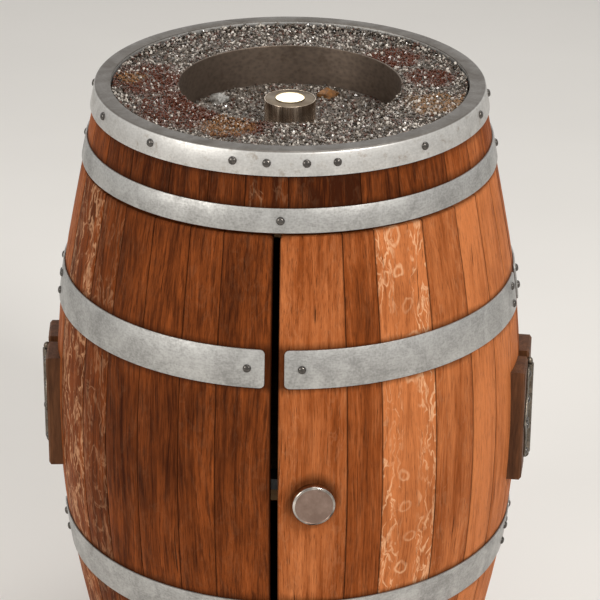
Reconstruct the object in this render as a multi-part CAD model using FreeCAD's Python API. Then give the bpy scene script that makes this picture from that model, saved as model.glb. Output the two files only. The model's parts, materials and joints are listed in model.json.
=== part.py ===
import FreeCAD, Part
import math
import os

from FreeCAD import Placement, Rotation, Vector

# Barrel bar cabinet: an oak cask with two curved doors, a shelf inside and a gravel fire bowl in its head.
# Millimetres and degrees. +Z is up and the doors face -Y. The cask's own axis stands CASK_AXIS_Y behind
# the origin, which lies on the floor under the middle of the whole cabinet.
# An azimuth is counted round the cask from the front, growing towards +X. A depth is counted inwards
# from the outside of the staves. An end drop is counted from either end of the cask towards the middle.

# ---------------------------------------------------------------- driving dimensions

# Round shapes are turned in flats: an odd ROUND_FLAT_COUNT round the cask, so that a corner stands at the
# back, and fewer on small turned pieces. Only the hinge pins and their bores, which turn, are truly round.
ROUND_FLAT_COUNT = 33
CUP_FLAT_COUNT = 16
KNOB_FLAT_COUNT = 16
KNUCKLE_FLAT_COUNT = 12
BOLT_SHANK_FLAT_COUNT = 10
FINIAL_FLAT_COUNT = 10

# Cask
CASK_HEIGHT = 950.0
BILGE_RADIUS = 331.0
HEAD_RADIUS = 264.0
STRAIGHT_END = 200.0
SIDE_FACET_COUNT = 5
STAVE_THICKNESS = 26.0
STAVE_SEAM = 0.3
CHIME_LAND = 14.0
CHIME_LENGTH = 30.0

# Heads, each set in a croze groove near an end of the cask
HEAD_DROP = 45.0
HEAD_THICKNESS = 20.0
CROZE_DEPTH = 5.0
CROZE_HEIGHT = 9.0
HEAD_CLEARANCE = 0.4
HEAD_BEVEL = 14.0
HEAD_BOARD_COUNT = 6
BOARD_SEAM = 0.3

# Hoops and their rivets
HOOP_THICKNESS = 2.5
QUARTER_HOOP_DROP = 74.0
QUARTER_HOOP_WIDTH = 32.5
BILGE_HOOP_DROP = 260.0
BILGE_HOOP_WIDTH = 53.0
FOOT_HOOP_DROP = 4.0
FOOT_HOOP_WIDTH = 32.0
HOOP_CORNER = 4.0
RIVET_RADIUS = 5.2
RIVET_HEIGHT = 3.8
RIVET_FLAT_COUNT = 6
RIVET_INSET = 24.0
RIVET_PAIR_SPACING = 26.0

# Rim cap over the upper stave ends
CAP_HEIGHT = 32.0
CAP_THICKNESS = 3.0
CAP_SKIRT_THICKNESS = 4.0
CAP_EDGE_CHAMFER = 2.5
CAP_TURN_IN = 18.0
CAP_LIP_DEPTH = 6.0
CAP_LIP_THICKNESS = 1.8

# Staves, as widths in proportion, counted towards +X from the left end of each stretch
UPPER_FRONT_WIDTHS = (68, 62, 60, 71, 59, 51, 57, 97, 56, 84, 56, 54, 52)
LOWER_FRONT_WIDTHS = (70, 74, 58, 62, 66, 56, 80, 92, 52, 86, 72, 60, 64)
LEFT_DOOR_WIDTHS = (76, 92, 58, 62, 66, 54, 75)
RIGHT_DOOR_WIDTHS = (94, 50, 86, 73, 60, 62, 59)
REAR_WIDTHS = (88, 96, 84, 104, 78, 92, 86, 100, 82, 94, 80, 98)

# Doors
DOOR_GAP = 11.0
DOOR_KERF = 3.0
DOOR_CORNER_RADIUS = 6.0
DOOR_TOP_BELOW_HOOP = 1.5
HOOP_END_SETBACK = 8.0
LEDGE_THICKNESS = 16.0
LEDGE_WIDTH = 60.0
LEDGE_DROP = 190.0
LEDGE_END_SETBACK = 18.0

# Rails behind the door ends, which join the short front staves and stop the doors
RAIL_THICKNESS = 20.0
RAIL_OVERLAP = 12.0
RAIL_SEAT = 34.0
RAIL_END_SETBACK = 11.0
STOP_CLEARANCE = 1.2

# Hinges: one a side, on wooden blocks that bring the pin outside the bulge
HINGE_AZIMUTH = 85.0
HINGE_STANDOFF = 12.0
HINGE_HEIGHT = 140.0
LEAF_THICKNESS = 3.0
LEAF_REACH = 58.0
LEAF_SHOULDER = 20.0
LEAF_WAIST = 27.0
LEAF_WAIST_RISE = 41.0
LEAF_CURVE = 4.0
KNUCKLE_RADIUS = 6.5
KNUCKLE_COUNT = 3
KNUCKLE_CLEARANCE = 0.5
KNUCKLE_TAB_OVERLAP = 1.0
PIN_RADIUS = 3.0
PIN_CLEARANCE = 0.05
FINIAL_RADIUS = 5.0
FINIAL_HEIGHT = 10.0
BLOCK_HEIGHT = 168.0
BLOCK_INSET = 9.0
BLOCK_REACH = 64.0
BLOCK_CHAMFER = 3.0
NAIL_HEAD_RADIUS = 5.0
NAIL_HEAD_HEIGHT = 3.2
NAIL_FLAT_COUNT = 6
NAIL_EDGE = 9.0

# Shelf, its cleat and the door catch
SHELF_BELOW_MIDDLE = 1.0
SHELF_THICKNESS = 18.0
SHELF_CLEARANCE = 0.5
SHELF_DOOR_CLEARANCE = 2.0
CLEAT_THICKNESS = 18.0
CLEAT_HEIGHT = 24.0
CLEAT_END_SETBACK = 30.0
CATCH_HALF_WIDTH = 28.0
CATCH_DEPTH = 30.0
CATCH_HEIGHT = 16.0
CATCH_CLEARANCE = 0.4
MAGNET_WIDTH = 19.0
MAGNET_THICKNESS = 1.2
MAGNET_MARGIN = 2.0
STRIKE_THICKNESS = 1.5
STRIKE_WIDTH = 24.0
STRIKE_SETBACK = 2.0
STRIKE_SEAT = 0.1

# Pull knob on the right door
KNOB_RADIUS = 29.5
KNOB_HEIGHT = 18.5
KNOB_RIM_WIDTH = 5.0
KNOB_FACE_RECESS = 1.2
KNOB_DISC_THICKNESS = 6.0
KNOB_NECK_RADIUS = 10.0
KNOB_FLARE = 3.0
KNOB_FOOT_RADIUS = 17.0
KNOB_BOLT_RADIUS = 3.0
KNOB_BOLT_REACH = 9.0
BOLT_CLEARANCE = 0.2
BOLT_FLAT_COUNT = 6
WASHER_RADIUS = 9.0
WASHER_THICKNESS = 1.5
WASHER_SEAT = 0.06
BOLT_HEAD_RADIUS = 6.5
BOLT_HEAD_HEIGHT = 4.0

# Fire top
TRAY_SHEET = 1.5
TRAY_CLEARANCE = 0.6
TRAY_RIM_DROP = 6.0
BOWL_RADIUS = 156.0
BOWL_WALL = 3.0
BOWL_RIM_DROP = 5.0
BOWL_DEPTH = 107.0
BOWL_CUTOUT_CLEARANCE = 5.0
COLLAR_WIDTH = 16.0
GRAVEL_CLEARANCE = 0.3
OUTER_GRAVEL_DROP = 11.0
BOWL_GRAVEL_DROP = 62.0
GRAVEL_MOUND = 3.0
CUP_RADIUS = 35.5
CUP_WALL = 1.5
CUP_RIM_DROP = 27.0
CAN_CLEARANCE = 0.4
CAN_WALL = 0.8
CAN_OPENING_RADIUS = 20.0
CAN_LIP_HEIGHT = 1.6
FUEL_DROP = 7.0
FUEL_CLEARANCE = 0.3

# Where the rivets stand, as azimuths
RIM_RIVET_AZIMUTHS = (-92, -64, -39, -12.5, -3, 8, 16.5, 44, 74, 92, 136, 180, 224)
QUARTER_RIVET_AZIMUTHS = (-93, 1, 93, 180)
FOOT_RIVET_AZIMUTHS = (-60, -4, 4, 60, 180)

# ---------------------------------------------------------------- worked-out places

BEND_HALF = CASK_HEIGHT / 2 - STRAIGHT_END
MIDDLE = CASK_HEIGHT / 2
FULL_TURN = 360.0
SHELF_TOP = MIDDLE - SHELF_BELOW_MIDDLE
CAP_INNER_RADIUS = HEAD_RADIUS - CAP_TURN_IN
FLAT_TURN = FULL_TURN / ROUND_FLAT_COUNT
FLAT_SHARE = math.cos(math.radians(FLAT_TURN / 2))
FIXED_END_DROP = QUARTER_HOOP_DROP + QUARTER_HOOP_WIDTH + DOOR_TOP_BELOW_HOOP
DOOR_END_DROP = FIXED_END_DROP + DOOR_KERF
DOOR_LOW = DOOR_END_DROP
DOOR_HIGH = CASK_HEIGHT - DOOR_END_DROP
STAVE_TOP = CASK_HEIGHT - CAP_THICKNESS
GAP_EDGE = math.degrees(DOOR_GAP / 2 / BILGE_RADIUS)
KERF_EDGE = math.degrees(DOOR_KERF / 2 / BILGE_RADIUS)
DOOR_SPAN = HINGE_AZIMUTH - KERF_EDGE
REAR_START = HINGE_AZIMUTH + KERF_EDGE
REAR_END = FULL_TURN - REAR_START
HINGE_PIN_RADIUS = BILGE_RADIUS + HINGE_STANDOFF + LEAF_THICKNESS / 2
RIGHT_FIRST_STAVE = (DOOR_SPAN - GAP_EDGE) * RIGHT_DOOR_WIDTHS[0] / sum(RIGHT_DOOR_WIDTHS)
KNOB_AZIMUTH = GAP_EDGE + RIGHT_FIRST_STAVE / 2
KNOB_FLAT_AZIMUTH = round(KNOB_AZIMUTH / FLAT_TURN) * FLAT_TURN
KNOB_LEAN = math.radians(KNOB_FLAT_AZIMUTH)
KNOB_ACROSS = BILGE_RADIUS * FLAT_SHARE * math.tan(math.radians(KNOB_AZIMUTH - KNOB_FLAT_AZIMUTH))
KNOB_FACE_REACH = (BILGE_RADIUS * FLAT_SHARE + KNOB_HEIGHT) * math.cos(KNOB_LEAN)
KNOB_REACH = KNOB_FACE_REACH + (KNOB_RADIUS - KNOB_DISC_THICKNESS / 4 - KNOB_ACROSS) * math.sin(KNOB_LEAN)
CASK_AXIS_Y = (KNOB_REACH - BILGE_RADIUS) / 2
TOP_HEAD_FACE = CASK_HEIGHT - HEAD_DROP
BOWL_TOP = CASK_HEIGHT - BOWL_RIM_DROP
BOWL_FLOOR = BOWL_TOP - BOWL_DEPTH
CUP_TOP = CASK_HEIGHT - CUP_RIM_DROP
COLLAR_TOP = TOP_HEAD_FACE + TRAY_SHEET + BOWL_WALL


# ---------------------------------------------------------------- shape of the cask's side

def side_bend():
    """Slope of the straight ends and radius of the bent middle, which meet without a corner."""
    rise = BILGE_RADIUS - HEAD_RADIUS
    half_turn = 0.0
    for _ in range(20):
        half_turn = rise / (BEND_HALF + 2 * STRAIGHT_END / (1 - half_turn ** 2))
    turn = 2 * math.atan(half_turn)
    return math.tan(turn), BEND_HALF / math.sin(turn)


END_SLOPE, BEND_RADIUS = side_bend()


def side_corners():
    """Radius and height of each corner of the side, a chain of straight facets tangent to the bend."""
    turn = math.atan(END_SLOPE)
    step = 2 * turn / (SIDE_FACET_COUNT + 1)
    reach = BEND_RADIUS / math.cos(step / 2)
    corners = [(HEAD_RADIUS, 0.0)]
    for number in range(SIDE_FACET_COUNT + 1):
        lean = (number + 0.5) * step - turn
        radius = BILGE_RADIUS - BEND_RADIUS + reach * math.cos(lean)
        corners.append((radius, MIDDLE + reach * math.sin(lean)))
    return corners + [(HEAD_RADIUS, CASK_HEIGHT)]


def side_slope(height):
    """Growth of the outside radius for each millimetre of height."""
    corners = side_corners()
    for (near_radius, near), (far_radius, far) in zip(corners, corners[1:]):
        if height <= far:
            break
    return (far_radius - near_radius) / (far - near)


def side_radius(height):
    """Radius of the outside of the staves at a height."""
    corners = side_corners()
    for (near_radius, near), (far_radius, far) in zip(corners, corners[1:]):
        if height <= far:
            break
    return near_radius + (far_radius - near_radius) * (height - near) / (far - near)


def side_point(height, depth=0.0):
    return side_radius(height) - depth, height


def side_directions(height):
    """Unit vectors up along the side and square out of it, at the front of the cask."""
    slope = side_slope(height)
    return Vector(0, -slope, 1).normalize(), Vector(0, -1, -slope).normalize()


def side_section(points):
    """Outline through (height, depth) points. A stretch of one depth follows the cask's side."""
    outline = []
    for (height, depth), (next_height, next_depth) in zip(points, points[1:] + points[:1]):
        outline.append(side_point(height, depth))
        if depth == next_depth:
            passed = [z for _, z in side_corners() if min(height, next_height) < z < max(height, next_height)]
            outline += [side_point(z, depth) for z in sorted(passed, reverse=height > next_height)]
    return outline


def band_section(low, high, near_depth, far_depth):
    """Section of a curved board between two heights and two depths."""
    return side_section([(low, near_depth), (high, near_depth), (high, far_depth), (low, far_depth)])


def bar_section(radius, low, high):
    """Half the section of a solid round bar."""
    return [(0, low), (radius, low), (radius, high), (0, high)]


def closed_solid(outlines):
    """Solid whose flat faces have the given corner points."""
    faces = [Part.Face(Part.makePolygon(outline + outline[:1])) for outline in outlines]
    solid = Part.makeSolid(Part.makeShell(faces))
    if solid.Volume < 0:
        solid.reverse()
    return solid


def turned(outline, flats, start=0.0, end=FULL_TURN):
    """Solid of (radius, height) points turned round the Z axis in flats, from one azimuth to another.

    The corners between the flats stand at the full radius, and azimuth 0 is the middle of a flat.
    """
    step = FULL_TURN / flats
    corners = [(number + 0.5) * step for number in range(-flats, 2 * flats)]
    azimuths = [start] + [azimuth for azimuth in corners if start < azimuth < end] + [end]
    rings = []
    for azimuth in azimuths:
        turn = math.radians(azimuth)
        off_middle = math.radians(azimuth - round(azimuth / step) * step)
        reach = math.cos(math.radians(step / 2)) / math.cos(off_middle)
        rings.append([Vector(r * reach * math.sin(turn), -r * reach * math.cos(turn), z) for r, z in outline])
    whole = end - start == FULL_TURN
    faces = [] if whole else [rings[0], rings[-1]]
    if whole:
        rings[-1] = rings[0]
    for near, far in zip(rings, rings[1:]):
        for number in range(len(outline)):
            following = (number + 1) % len(outline)
            corners = [near[number], near[following], far[following], far[number]]
            if outline[number][0] == 0:
                corners = corners[:3]
            if outline[following][0] == 0:
                corners = corners[:2] + corners[3:]
            if len(corners) > 2 and not (outline[number][0] == 0 and outline[following][0] == 0):
                faces.append(corners)
    return closed_solid(faces).removeSplitter()


def swept(outline, start=0.0, end=FULL_TURN):
    """Solid of (radius, height) points turned round the cask's axis from one azimuth to another."""
    return turned(outline, ROUND_FLAT_COUNT, start, end)


def at_azimuth(shape, azimuth):
    """A shape built at the front of the cask, turned to an azimuth."""
    moved = shape.copy()
    moved.rotate(Vector(0, 0, 0), Vector(0, 0, 1), azimuth)
    return moved


def on_side(shape, azimuth, height, depth=0.0, along=0.0, inwards=False):
    """Stands a shape that was built up from the origin along +Z square on a flat of the cask's side."""
    flat_azimuth = round(azimuth / FLAT_TURN) * FLAT_TURN
    flat_radius = side_radius(height) * FLAT_SHARE
    across = flat_radius * math.tan(math.radians(azimuth - flat_azimuth))
    up, out = side_directions(height)
    base = Vector(across, -flat_radius, height) - out * depth + up * along
    facing = out * -1 if inwards else out
    placed = shape.copy()
    placed.Placement = Placement(base, Rotation(Vector(0, 0, 1), facing)).multiply(placed.Placement)
    return at_azimuth(placed, flat_azimuth)


def export(name, solids):
    """Writes the solids of one node, moved so that the cask's axis stands behind the origin."""
    node = Part.makeCompound(solids) if len(solids) > 1 else solids[0].copy()
    node.translate(Vector(0, CASK_AXIS_Y, 0))
    node.exportStep("parts/" + name + ".step")


# ---------------------------------------------------------------- staves

def stave_spans(start, end, widths):
    """Azimuths between which each stave of a stretch lies, half a seam in from its neighbours."""
    half_seam = math.degrees(STAVE_SEAM / 2 / BILGE_RADIUS)
    share = (end - start) / sum(widths)
    edges = [start + share * sum(widths[:count]) for count in range(len(widths) + 1)]
    return [(low + half_seam, high - half_seam) for low, high in zip(edges, edges[1:])]


def chime_points(end, inwards):
    """Inner outline of a stave end: thinned land, bevel, then the croze groove for the head."""
    groove = end_height(end) + inwards * (HEAD_DROP + HEAD_THICKNESS / 2)
    points = [
        (stave_end(end), CHIME_LAND),
        (stave_end(end) + inwards * CHIME_LENGTH, STAVE_THICKNESS),
        (groove - inwards * CROZE_HEIGHT / 2, STAVE_THICKNESS),
        (groove - inwards * CROZE_HEIGHT / 2, STAVE_THICKNESS - CROZE_DEPTH),
        (groove + inwards * CROZE_HEIGHT / 2, STAVE_THICKNESS - CROZE_DEPTH),
        (groove + inwards * CROZE_HEIGHT / 2, STAVE_THICKNESS),
    ]
    return points


def end_height(end):
    return CASK_HEIGHT if end == "top" else 0.0


def stave_end(end):
    return STAVE_TOP if end == "top" else 0.0


def full_stave_section():
    inner = chime_points("top", -1) + chime_points("bottom", 1)[::-1]
    return side_section([(0.0, 0.0), (STAVE_TOP, 0.0)] + inner)


def upper_stave_section():
    low = CASK_HEIGHT - FIXED_END_DROP
    return side_section([(low, 0.0), (STAVE_TOP, 0.0)] + chime_points("top", -1) + [(low, STAVE_THICKNESS)])


def lower_stave_section():
    high = FIXED_END_DROP
    inner = [(high, STAVE_THICKNESS)] + chime_points("bottom", 1)[::-1]
    return side_section([(0.0, 0.0), (high, 0.0)] + inner)


def staves(section, start, end, widths):
    return [swept(section, low, high) for low, high in stave_spans(start, end, widths)]


def rounded_gap_corners(stave, azimuth):
    """A door stave with its two outer corners rounded on the edge that faces the door gap."""
    radial = []
    for edge in stave.Edges:
        middle = edge.CenterOfMass
        edge_azimuth = math.degrees(math.atan2(middle.x, -middle.y))
        at_end = min(abs(middle.z - DOOR_LOW), abs(middle.z - DOOR_HIGH)) < 0.1
        if at_end and abs(edge_azimuth - azimuth) < 0.5:
            radial.append(edge)
    return stave.makeFillet(DOOR_CORNER_RADIUS, radial)


# ---------------------------------------------------------------- hoops, cap and rivets

def hoop_section(drop, width, top):
    """Outline of a flat strip that lies on the staves, square to their side."""
    middle = CASK_HEIGHT - drop - width / 2 if top else drop + width / 2
    lean = math.atan(side_slope(middle))
    rise, lie = width / 2 * math.cos(lean), width / 2 * math.sin(lean)
    out, down = HOOP_THICKNESS * math.cos(lean), HOOP_THICKNESS * math.sin(lean)
    radius = side_radius(middle)
    return [
        (radius - lie, middle - rise), (radius + lie, middle + rise),
        (radius + lie + out, middle + rise - down), (radius - lie + out, middle - rise - down),
    ]


def hoop_length(top, start, end):
    """A length of bilge hoop with its corners cut at both ends."""
    strip = swept(hoop_section(BILGE_HOOP_DROP, BILGE_HOOP_WIDTH, top), start, end)
    short = [edge for edge in strip.Edges if edge.Length < 2 * HOOP_THICKNESS]
    return strip.makeChamfer(HOOP_CORNER, short)


def rim_cap():
    """Steel band round the upper stave ends, turned in over them and down in a small inner lip."""
    skirt_low = CASK_HEIGHT - CAP_HEIGHT
    shoulder = CASK_HEIGHT - CAP_EDGE_CHAMFER
    lip_outer = CAP_INNER_RADIUS + CAP_LIP_THICKNESS
    lip_low = CASK_HEIGHT - CAP_LIP_DEPTH
    points = [
        (CAP_INNER_RADIUS, CASK_HEIGHT), (CAP_INNER_RADIUS, lip_low), (lip_outer, lip_low),
        (lip_outer, STAVE_TOP),
        (side_radius(STAVE_TOP), STAVE_TOP), (side_radius(skirt_low), skirt_low),
        (side_radius(skirt_low) + CAP_SKIRT_THICKNESS, skirt_low),
        (side_radius(shoulder) + CAP_SKIRT_THICKNESS, shoulder),
        (side_radius(CASK_HEIGHT) + CAP_SKIRT_THICKNESS - CAP_EDGE_CHAMFER, CASK_HEIGHT),
    ]
    return swept(points)


def dome(radius, height, sides):
    """Rivet or nail head that stands on the origin: a low dome worked in flats."""
    rings = []
    for ring_radius, ring_height in ((radius, 0.0), (radius * math.sqrt(0.5), height)):
        turns = [2 * math.pi * number / sides for number in range(sides)]
        across = [(ring_radius * math.cos(turn), ring_radius * math.sin(turn)) for turn in turns]
        rings.append([Vector(x, y, ring_height) for x, y in across])
    floor, crown = rings
    walls = [[floor[n - 1], floor[n], crown[n], crown[n - 1]] for n in range(sides)]
    return closed_solid([floor, crown] + walls)


def rivets(azimuths, height, skin, along=0.0):
    """Dome-head rivets on a band whose outer face lies one skin outside the staves."""
    head = dome(RIVET_RADIUS, RIVET_HEIGHT, RIVET_FLAT_COUNT)
    return [on_side(head, azimuth, height, -skin, along) for azimuth in azimuths]


def bilge_rivets(single, pairs):
    """Rivets of both bilge hoops: one at each single azimuth and two, one over the other, at each pair."""
    heads = []
    for top in (True, False):
        drop = BILGE_HOOP_DROP + BILGE_HOOP_WIDTH / 2
        height = CASK_HEIGHT - drop if top else drop
        heads += rivets(single, height, HOOP_THICKNESS)
        for shift in (-RIVET_PAIR_SPACING / 2, RIVET_PAIR_SPACING / 2):
            heads += rivets(pairs, height, HOOP_THICKNESS, shift)
    return heads


def arc_degrees(length, radius=BILGE_RADIUS):
    return math.degrees(length / radius)


# ---------------------------------------------------------------- heads and shelf

def cask_head(outer_face, inwards):
    """Head disc, thinned to a wedge at its edge that enters the croze groove."""
    inner_face = outer_face + inwards * HEAD_THICKNESS
    centre = (outer_face + inner_face) / 2
    mouth = side_radius(centre) - STAVE_THICKNESS - END_SLOPE * CROZE_HEIGHT / 2
    edge = mouth + CROZE_DEPTH - HEAD_CLEARANCE
    flat = mouth - HEAD_BEVEL
    at_mouth = CROZE_HEIGHT / 2 - HEAD_CLEARANCE
    at_edge = at_mouth - (HEAD_THICKNESS / 2 - at_mouth) * (edge - mouth) / (mouth - flat)
    low = min(outer_face, inner_face)
    high = max(outer_face, inner_face)
    points = [(0, low), (flat, low), (edge, centre - at_edge), (edge, centre + at_edge), (flat, high)]
    return swept(points + [(0, high)])


def boards(disc, count):
    """A disc cut into parallel boards that run from front to back."""
    box = disc.BoundBox
    pitch = box.XLength / count
    pieces = []
    for number in range(count):
        left = box.XMin + number * pitch + BOARD_SEAM / 2
        width = pitch - BOARD_SEAM
        corner = Vector(left, box.YMin - 1, box.ZMin - 1)
        slab = Part.makeBox(width, box.YLength + 2, box.ZLength + 2, corner)
        pieces += disc.common(slab).Solids
    return pieces


def shelf_board():
    """Round shelf, full to the rear staves and cut back in front to clear the doors and the knob's bolt."""
    low = SHELF_TOP - SHELF_THICKNESS
    full = min(side_radius(low), side_radius(SHELF_TOP)) - STAVE_THICKNESS - SHELF_CLEARANCE
    front = full - WASHER_THICKNESS - BOLT_HEAD_HEIGHT - SHELF_DOOR_CLEARANCE
    rear = swept(bar_section(full, low, SHELF_TOP), REAR_START, REAR_END)
    disc = swept(bar_section(front, low, SHELF_TOP), -REAR_START, REAR_START)
    return rear.fuse(disc).removeSplitter()


# ---------------------------------------------------------------- hinges, built at azimuth 0

def bowed(near, far, bow):
    """Arc between two points whose middle stands one bow to the left of the straight line."""
    along = far - near
    sideways = along.cross(Vector(0, 1, 0)).normalize()
    return Part.Arc(near, near + along / 2 + sideways * bow, far).toShape()


def leaf_outline(side):
    """Face of a wrought leaf: straight at the knuckles, with round shoulders and a pointed lobe."""
    inner = KNUCKLE_RADIUS + KNUCKLE_CLEARANCE
    half = HINGE_HEIGHT / 2
    plane = -(BILGE_RADIUS + HINGE_STANDOFF)
    edges = []
    for sign in (1, -1):
        root = Vector(side * inner, plane, MIDDLE + sign * half)
        shoulder = Vector(side * LEAF_SHOULDER, plane, MIDDLE + sign * half)
        waist = Vector(side * LEAF_WAIST, plane, MIDDLE + sign * LEAF_WAIST_RISE)
        tip = Vector(side * LEAF_REACH, plane, MIDDLE)
        bow = side * sign * LEAF_CURVE
        edges.append(Part.makeLine(root, shoulder))
        edges += [bowed(shoulder, waist, -bow), bowed(waist, tip, bow)]
    edges.append(Part.makeLine(edges[0].Vertexes[0].Point, edges[3].Vertexes[0].Point))
    return Part.Face(Part.Wire(Part.__sortEdges__(edges)))


def round_bar(radius, low, high):
    """Truly round bar on the hinge's axis."""
    return Part.makeCylinder(radius, high - low, Vector(0, -HINGE_PIN_RADIUS, low))


def hinge_leaf(side, carries_middle):
    """One leaf with its knuckles: the middle one, or the ones above and below it."""
    plate = leaf_outline(side).extrude(Vector(0, -LEAF_THICKNESS, 0))
    pitch = HINGE_HEIGHT / KNUCKLE_COUNT
    face = -(BILGE_RADIUS + HINGE_STANDOFF)
    reach = KNUCKLE_RADIUS + KNUCKLE_CLEARANCE + KNUCKLE_TAB_OVERLAP
    leaf = plate
    for number in range(KNUCKLE_COUNT):
        if (number % 2 == 1) != carries_middle:
            continue
        low = MIDDLE - HINGE_HEIGHT / 2 + number * pitch + (KNUCKLE_CLEARANCE / 2 if number else 0)
        last = number == KNUCKLE_COUNT - 1
        high = MIDDLE - HINGE_HEIGHT / 2 + (number + 1) * pitch - (0 if last else KNUCKLE_CLEARANCE / 2)
        left = 0 if side > 0 else -reach
        tab = Part.makeBox(reach, LEAF_THICKNESS, high - low, Vector(left, face - LEAF_THICKNESS, low))
        knuckle = turned(bar_section(KNUCKLE_RADIUS, low, high), KNUCKLE_FLAT_COUNT)
        knuckle.translate(Vector(0, -HINGE_PIN_RADIUS, 0))
        leaf = leaf.fuse([knuckle, tab])
    return leaf.cut(round_bar(PIN_RADIUS, 0, CASK_HEIGHT)).removeSplitter().Solids[0]


def hinge_pin():
    """Pin with a turned finial at each end, which keeps it in the knuckles."""
    half = HINGE_HEIGHT / 2
    radius = PIN_RADIUS - PIN_CLEARANCE
    ends = []
    for sign in (1, -1):
        points = [
            (0, half), (radius, half), (FINIAL_RADIUS, half + FINIAL_HEIGHT / 3),
            (FINIAL_RADIUS, half + FINIAL_HEIGHT * 2 / 3), (0, half + FINIAL_HEIGHT),
        ]
        finial = turned([(across, sign * up) for across, up in points], FINIAL_FLAT_COUNT)
        finial.translate(Vector(0, -HINGE_PIN_RADIUS, MIDDLE))
        ends.append(finial)
    return round_bar(radius, MIDDLE - half, MIDDLE + half).fuse(ends)


def hinge_block(side, azimuth, cask_form):
    """Wooden block that seats on the round of the cask and gives the leaf a flat face."""
    outer = BILGE_RADIUS + HINGE_STANDOFF
    left = BLOCK_INSET if side > 0 else -BLOCK_REACH
    corner = Vector(left, -outer, MIDDLE - BLOCK_HEIGHT / 2)
    block = Part.makeBox(BLOCK_REACH - BLOCK_INSET, outer, BLOCK_HEIGHT, corner)
    front = [edge for edge in block.Edges if abs(edge.CenterOfMass.y + outer) < 0.01]
    return at_azimuth(block.makeChamfer(BLOCK_CHAMFER, front), azimuth).cut(cask_form).Solids[0]


def leaf_nails(side):
    """Round-head nails at the shoulders, near the knuckles and in the lobe of one leaf."""
    head = dome(NAIL_HEAD_RADIUS, NAIL_HEAD_HEIGHT, NAIL_FLAT_COUNT)
    near = (KNUCKLE_RADIUS + LEAF_WAIST) / 2
    places = [(LEAF_REACH - 2 * NAIL_EDGE, 0.0)]
    for rise in (HINGE_HEIGHT / 2 - NAIL_EDGE, LEAF_WAIST_RISE / 2):
        places += [(near, rise), (near, -rise)]
    face = -(BILGE_RADIUS + HINGE_STANDOFF + LEAF_THICKNESS)
    outwards = Rotation(Vector(0, 0, 1), Vector(0, -1, 0))
    nails = []
    for across, rise in places:
        nail = head.copy()
        nail.Placement = Placement(Vector(side * across, face, MIDDLE + rise), outwards)
        nails.append(nail)
    return nails


# ---------------------------------------------------------------- knob and catch

def pull_knob():
    """Turned knob: foot, neck and a disc with a raised rim, bored from below for its bolt."""
    disc_low = KNOB_HEIGHT - KNOB_DISC_THICKNESS
    edge = KNOB_DISC_THICKNESS / 4
    rim_inner = KNOB_RADIUS - KNOB_RIM_WIDTH
    face = KNOB_HEIGHT - KNOB_FACE_RECESS
    bore = KNOB_BOLT_RADIUS + BOLT_CLEARANCE
    bore_top = KNOB_BOLT_REACH + BOLT_CLEARANCE
    points = [
        (KNOB_RADIUS, disc_low + edge), (KNOB_RADIUS, KNOB_HEIGHT - edge), (KNOB_RADIUS - edge, KNOB_HEIGHT),
        (rim_inner, KNOB_HEIGHT), (rim_inner - KNOB_FACE_RECESS, face), (0, face), (0, bore_top),
        (bore, bore_top), (bore, 0), (KNOB_FOOT_RADIUS, 0), (KNOB_NECK_RADIUS, KNOB_FLARE),
        (KNOB_NECK_RADIUS, disc_low - KNOB_FLARE), (KNOB_NECK_RADIUS + KNOB_FLARE, disc_low),
        (KNOB_RADIUS - edge, disc_low),
    ]
    return turned(points, KNOB_FLAT_COUNT)


def knob_bolt():
    """Bolt and washer, standing on the inside of the stave with the shank below."""
    hole = KNOB_BOLT_RADIUS + BOLT_CLEARANCE
    washer = [(hole, 0), (WASHER_RADIUS, 0), (WASHER_RADIUS, WASHER_THICKNESS), (hole, WASHER_THICKNESS)]
    head_top = WASHER_THICKNESS + BOLT_HEAD_HEIGHT
    end = -STAVE_THICKNESS - KNOB_BOLT_REACH
    head = turned(bar_section(BOLT_HEAD_RADIUS, WASHER_THICKNESS, head_top), BOLT_FLAT_COUNT)
    shank = turned(bar_section(KNOB_BOLT_RADIUS, end, WASHER_THICKNESS), BOLT_SHANK_FLAT_COUNT)
    return [turned(washer, CUP_FLAT_COUNT), head.fuse(shank).removeSplitter()]


def strike_plate(side):
    """Steel strip bent to the inside of a door beside the gap, opposite the catch."""
    outer = STAVE_THICKNESS + STRIKE_SEAT
    face = band_section(SHELF_TOP, SHELF_TOP + CATCH_HEIGHT, outer, outer + STRIKE_THICKNESS)
    near = GAP_EDGE + arc_degrees(STRIKE_SETBACK)
    far = near + arc_degrees(STRIKE_WIDTH)
    return swept(face, near, far) if side > 0 else swept(face, -far, -near)


def catch_front():
    """How far in front of the cask's axis the catch's magnets end, just clear of the strike plates."""
    narrowest = min(side_radius(SHELF_TOP), side_radius(SHELF_TOP + CATCH_HEIGHT)) * FLAT_SHARE
    strike = narrowest - STAVE_THICKNESS - STRIKE_SEAT - STRIKE_THICKNESS
    return math.sqrt(strike ** 2 - CATCH_HALF_WIDTH ** 2) - CATCH_CLEARANCE


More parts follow.
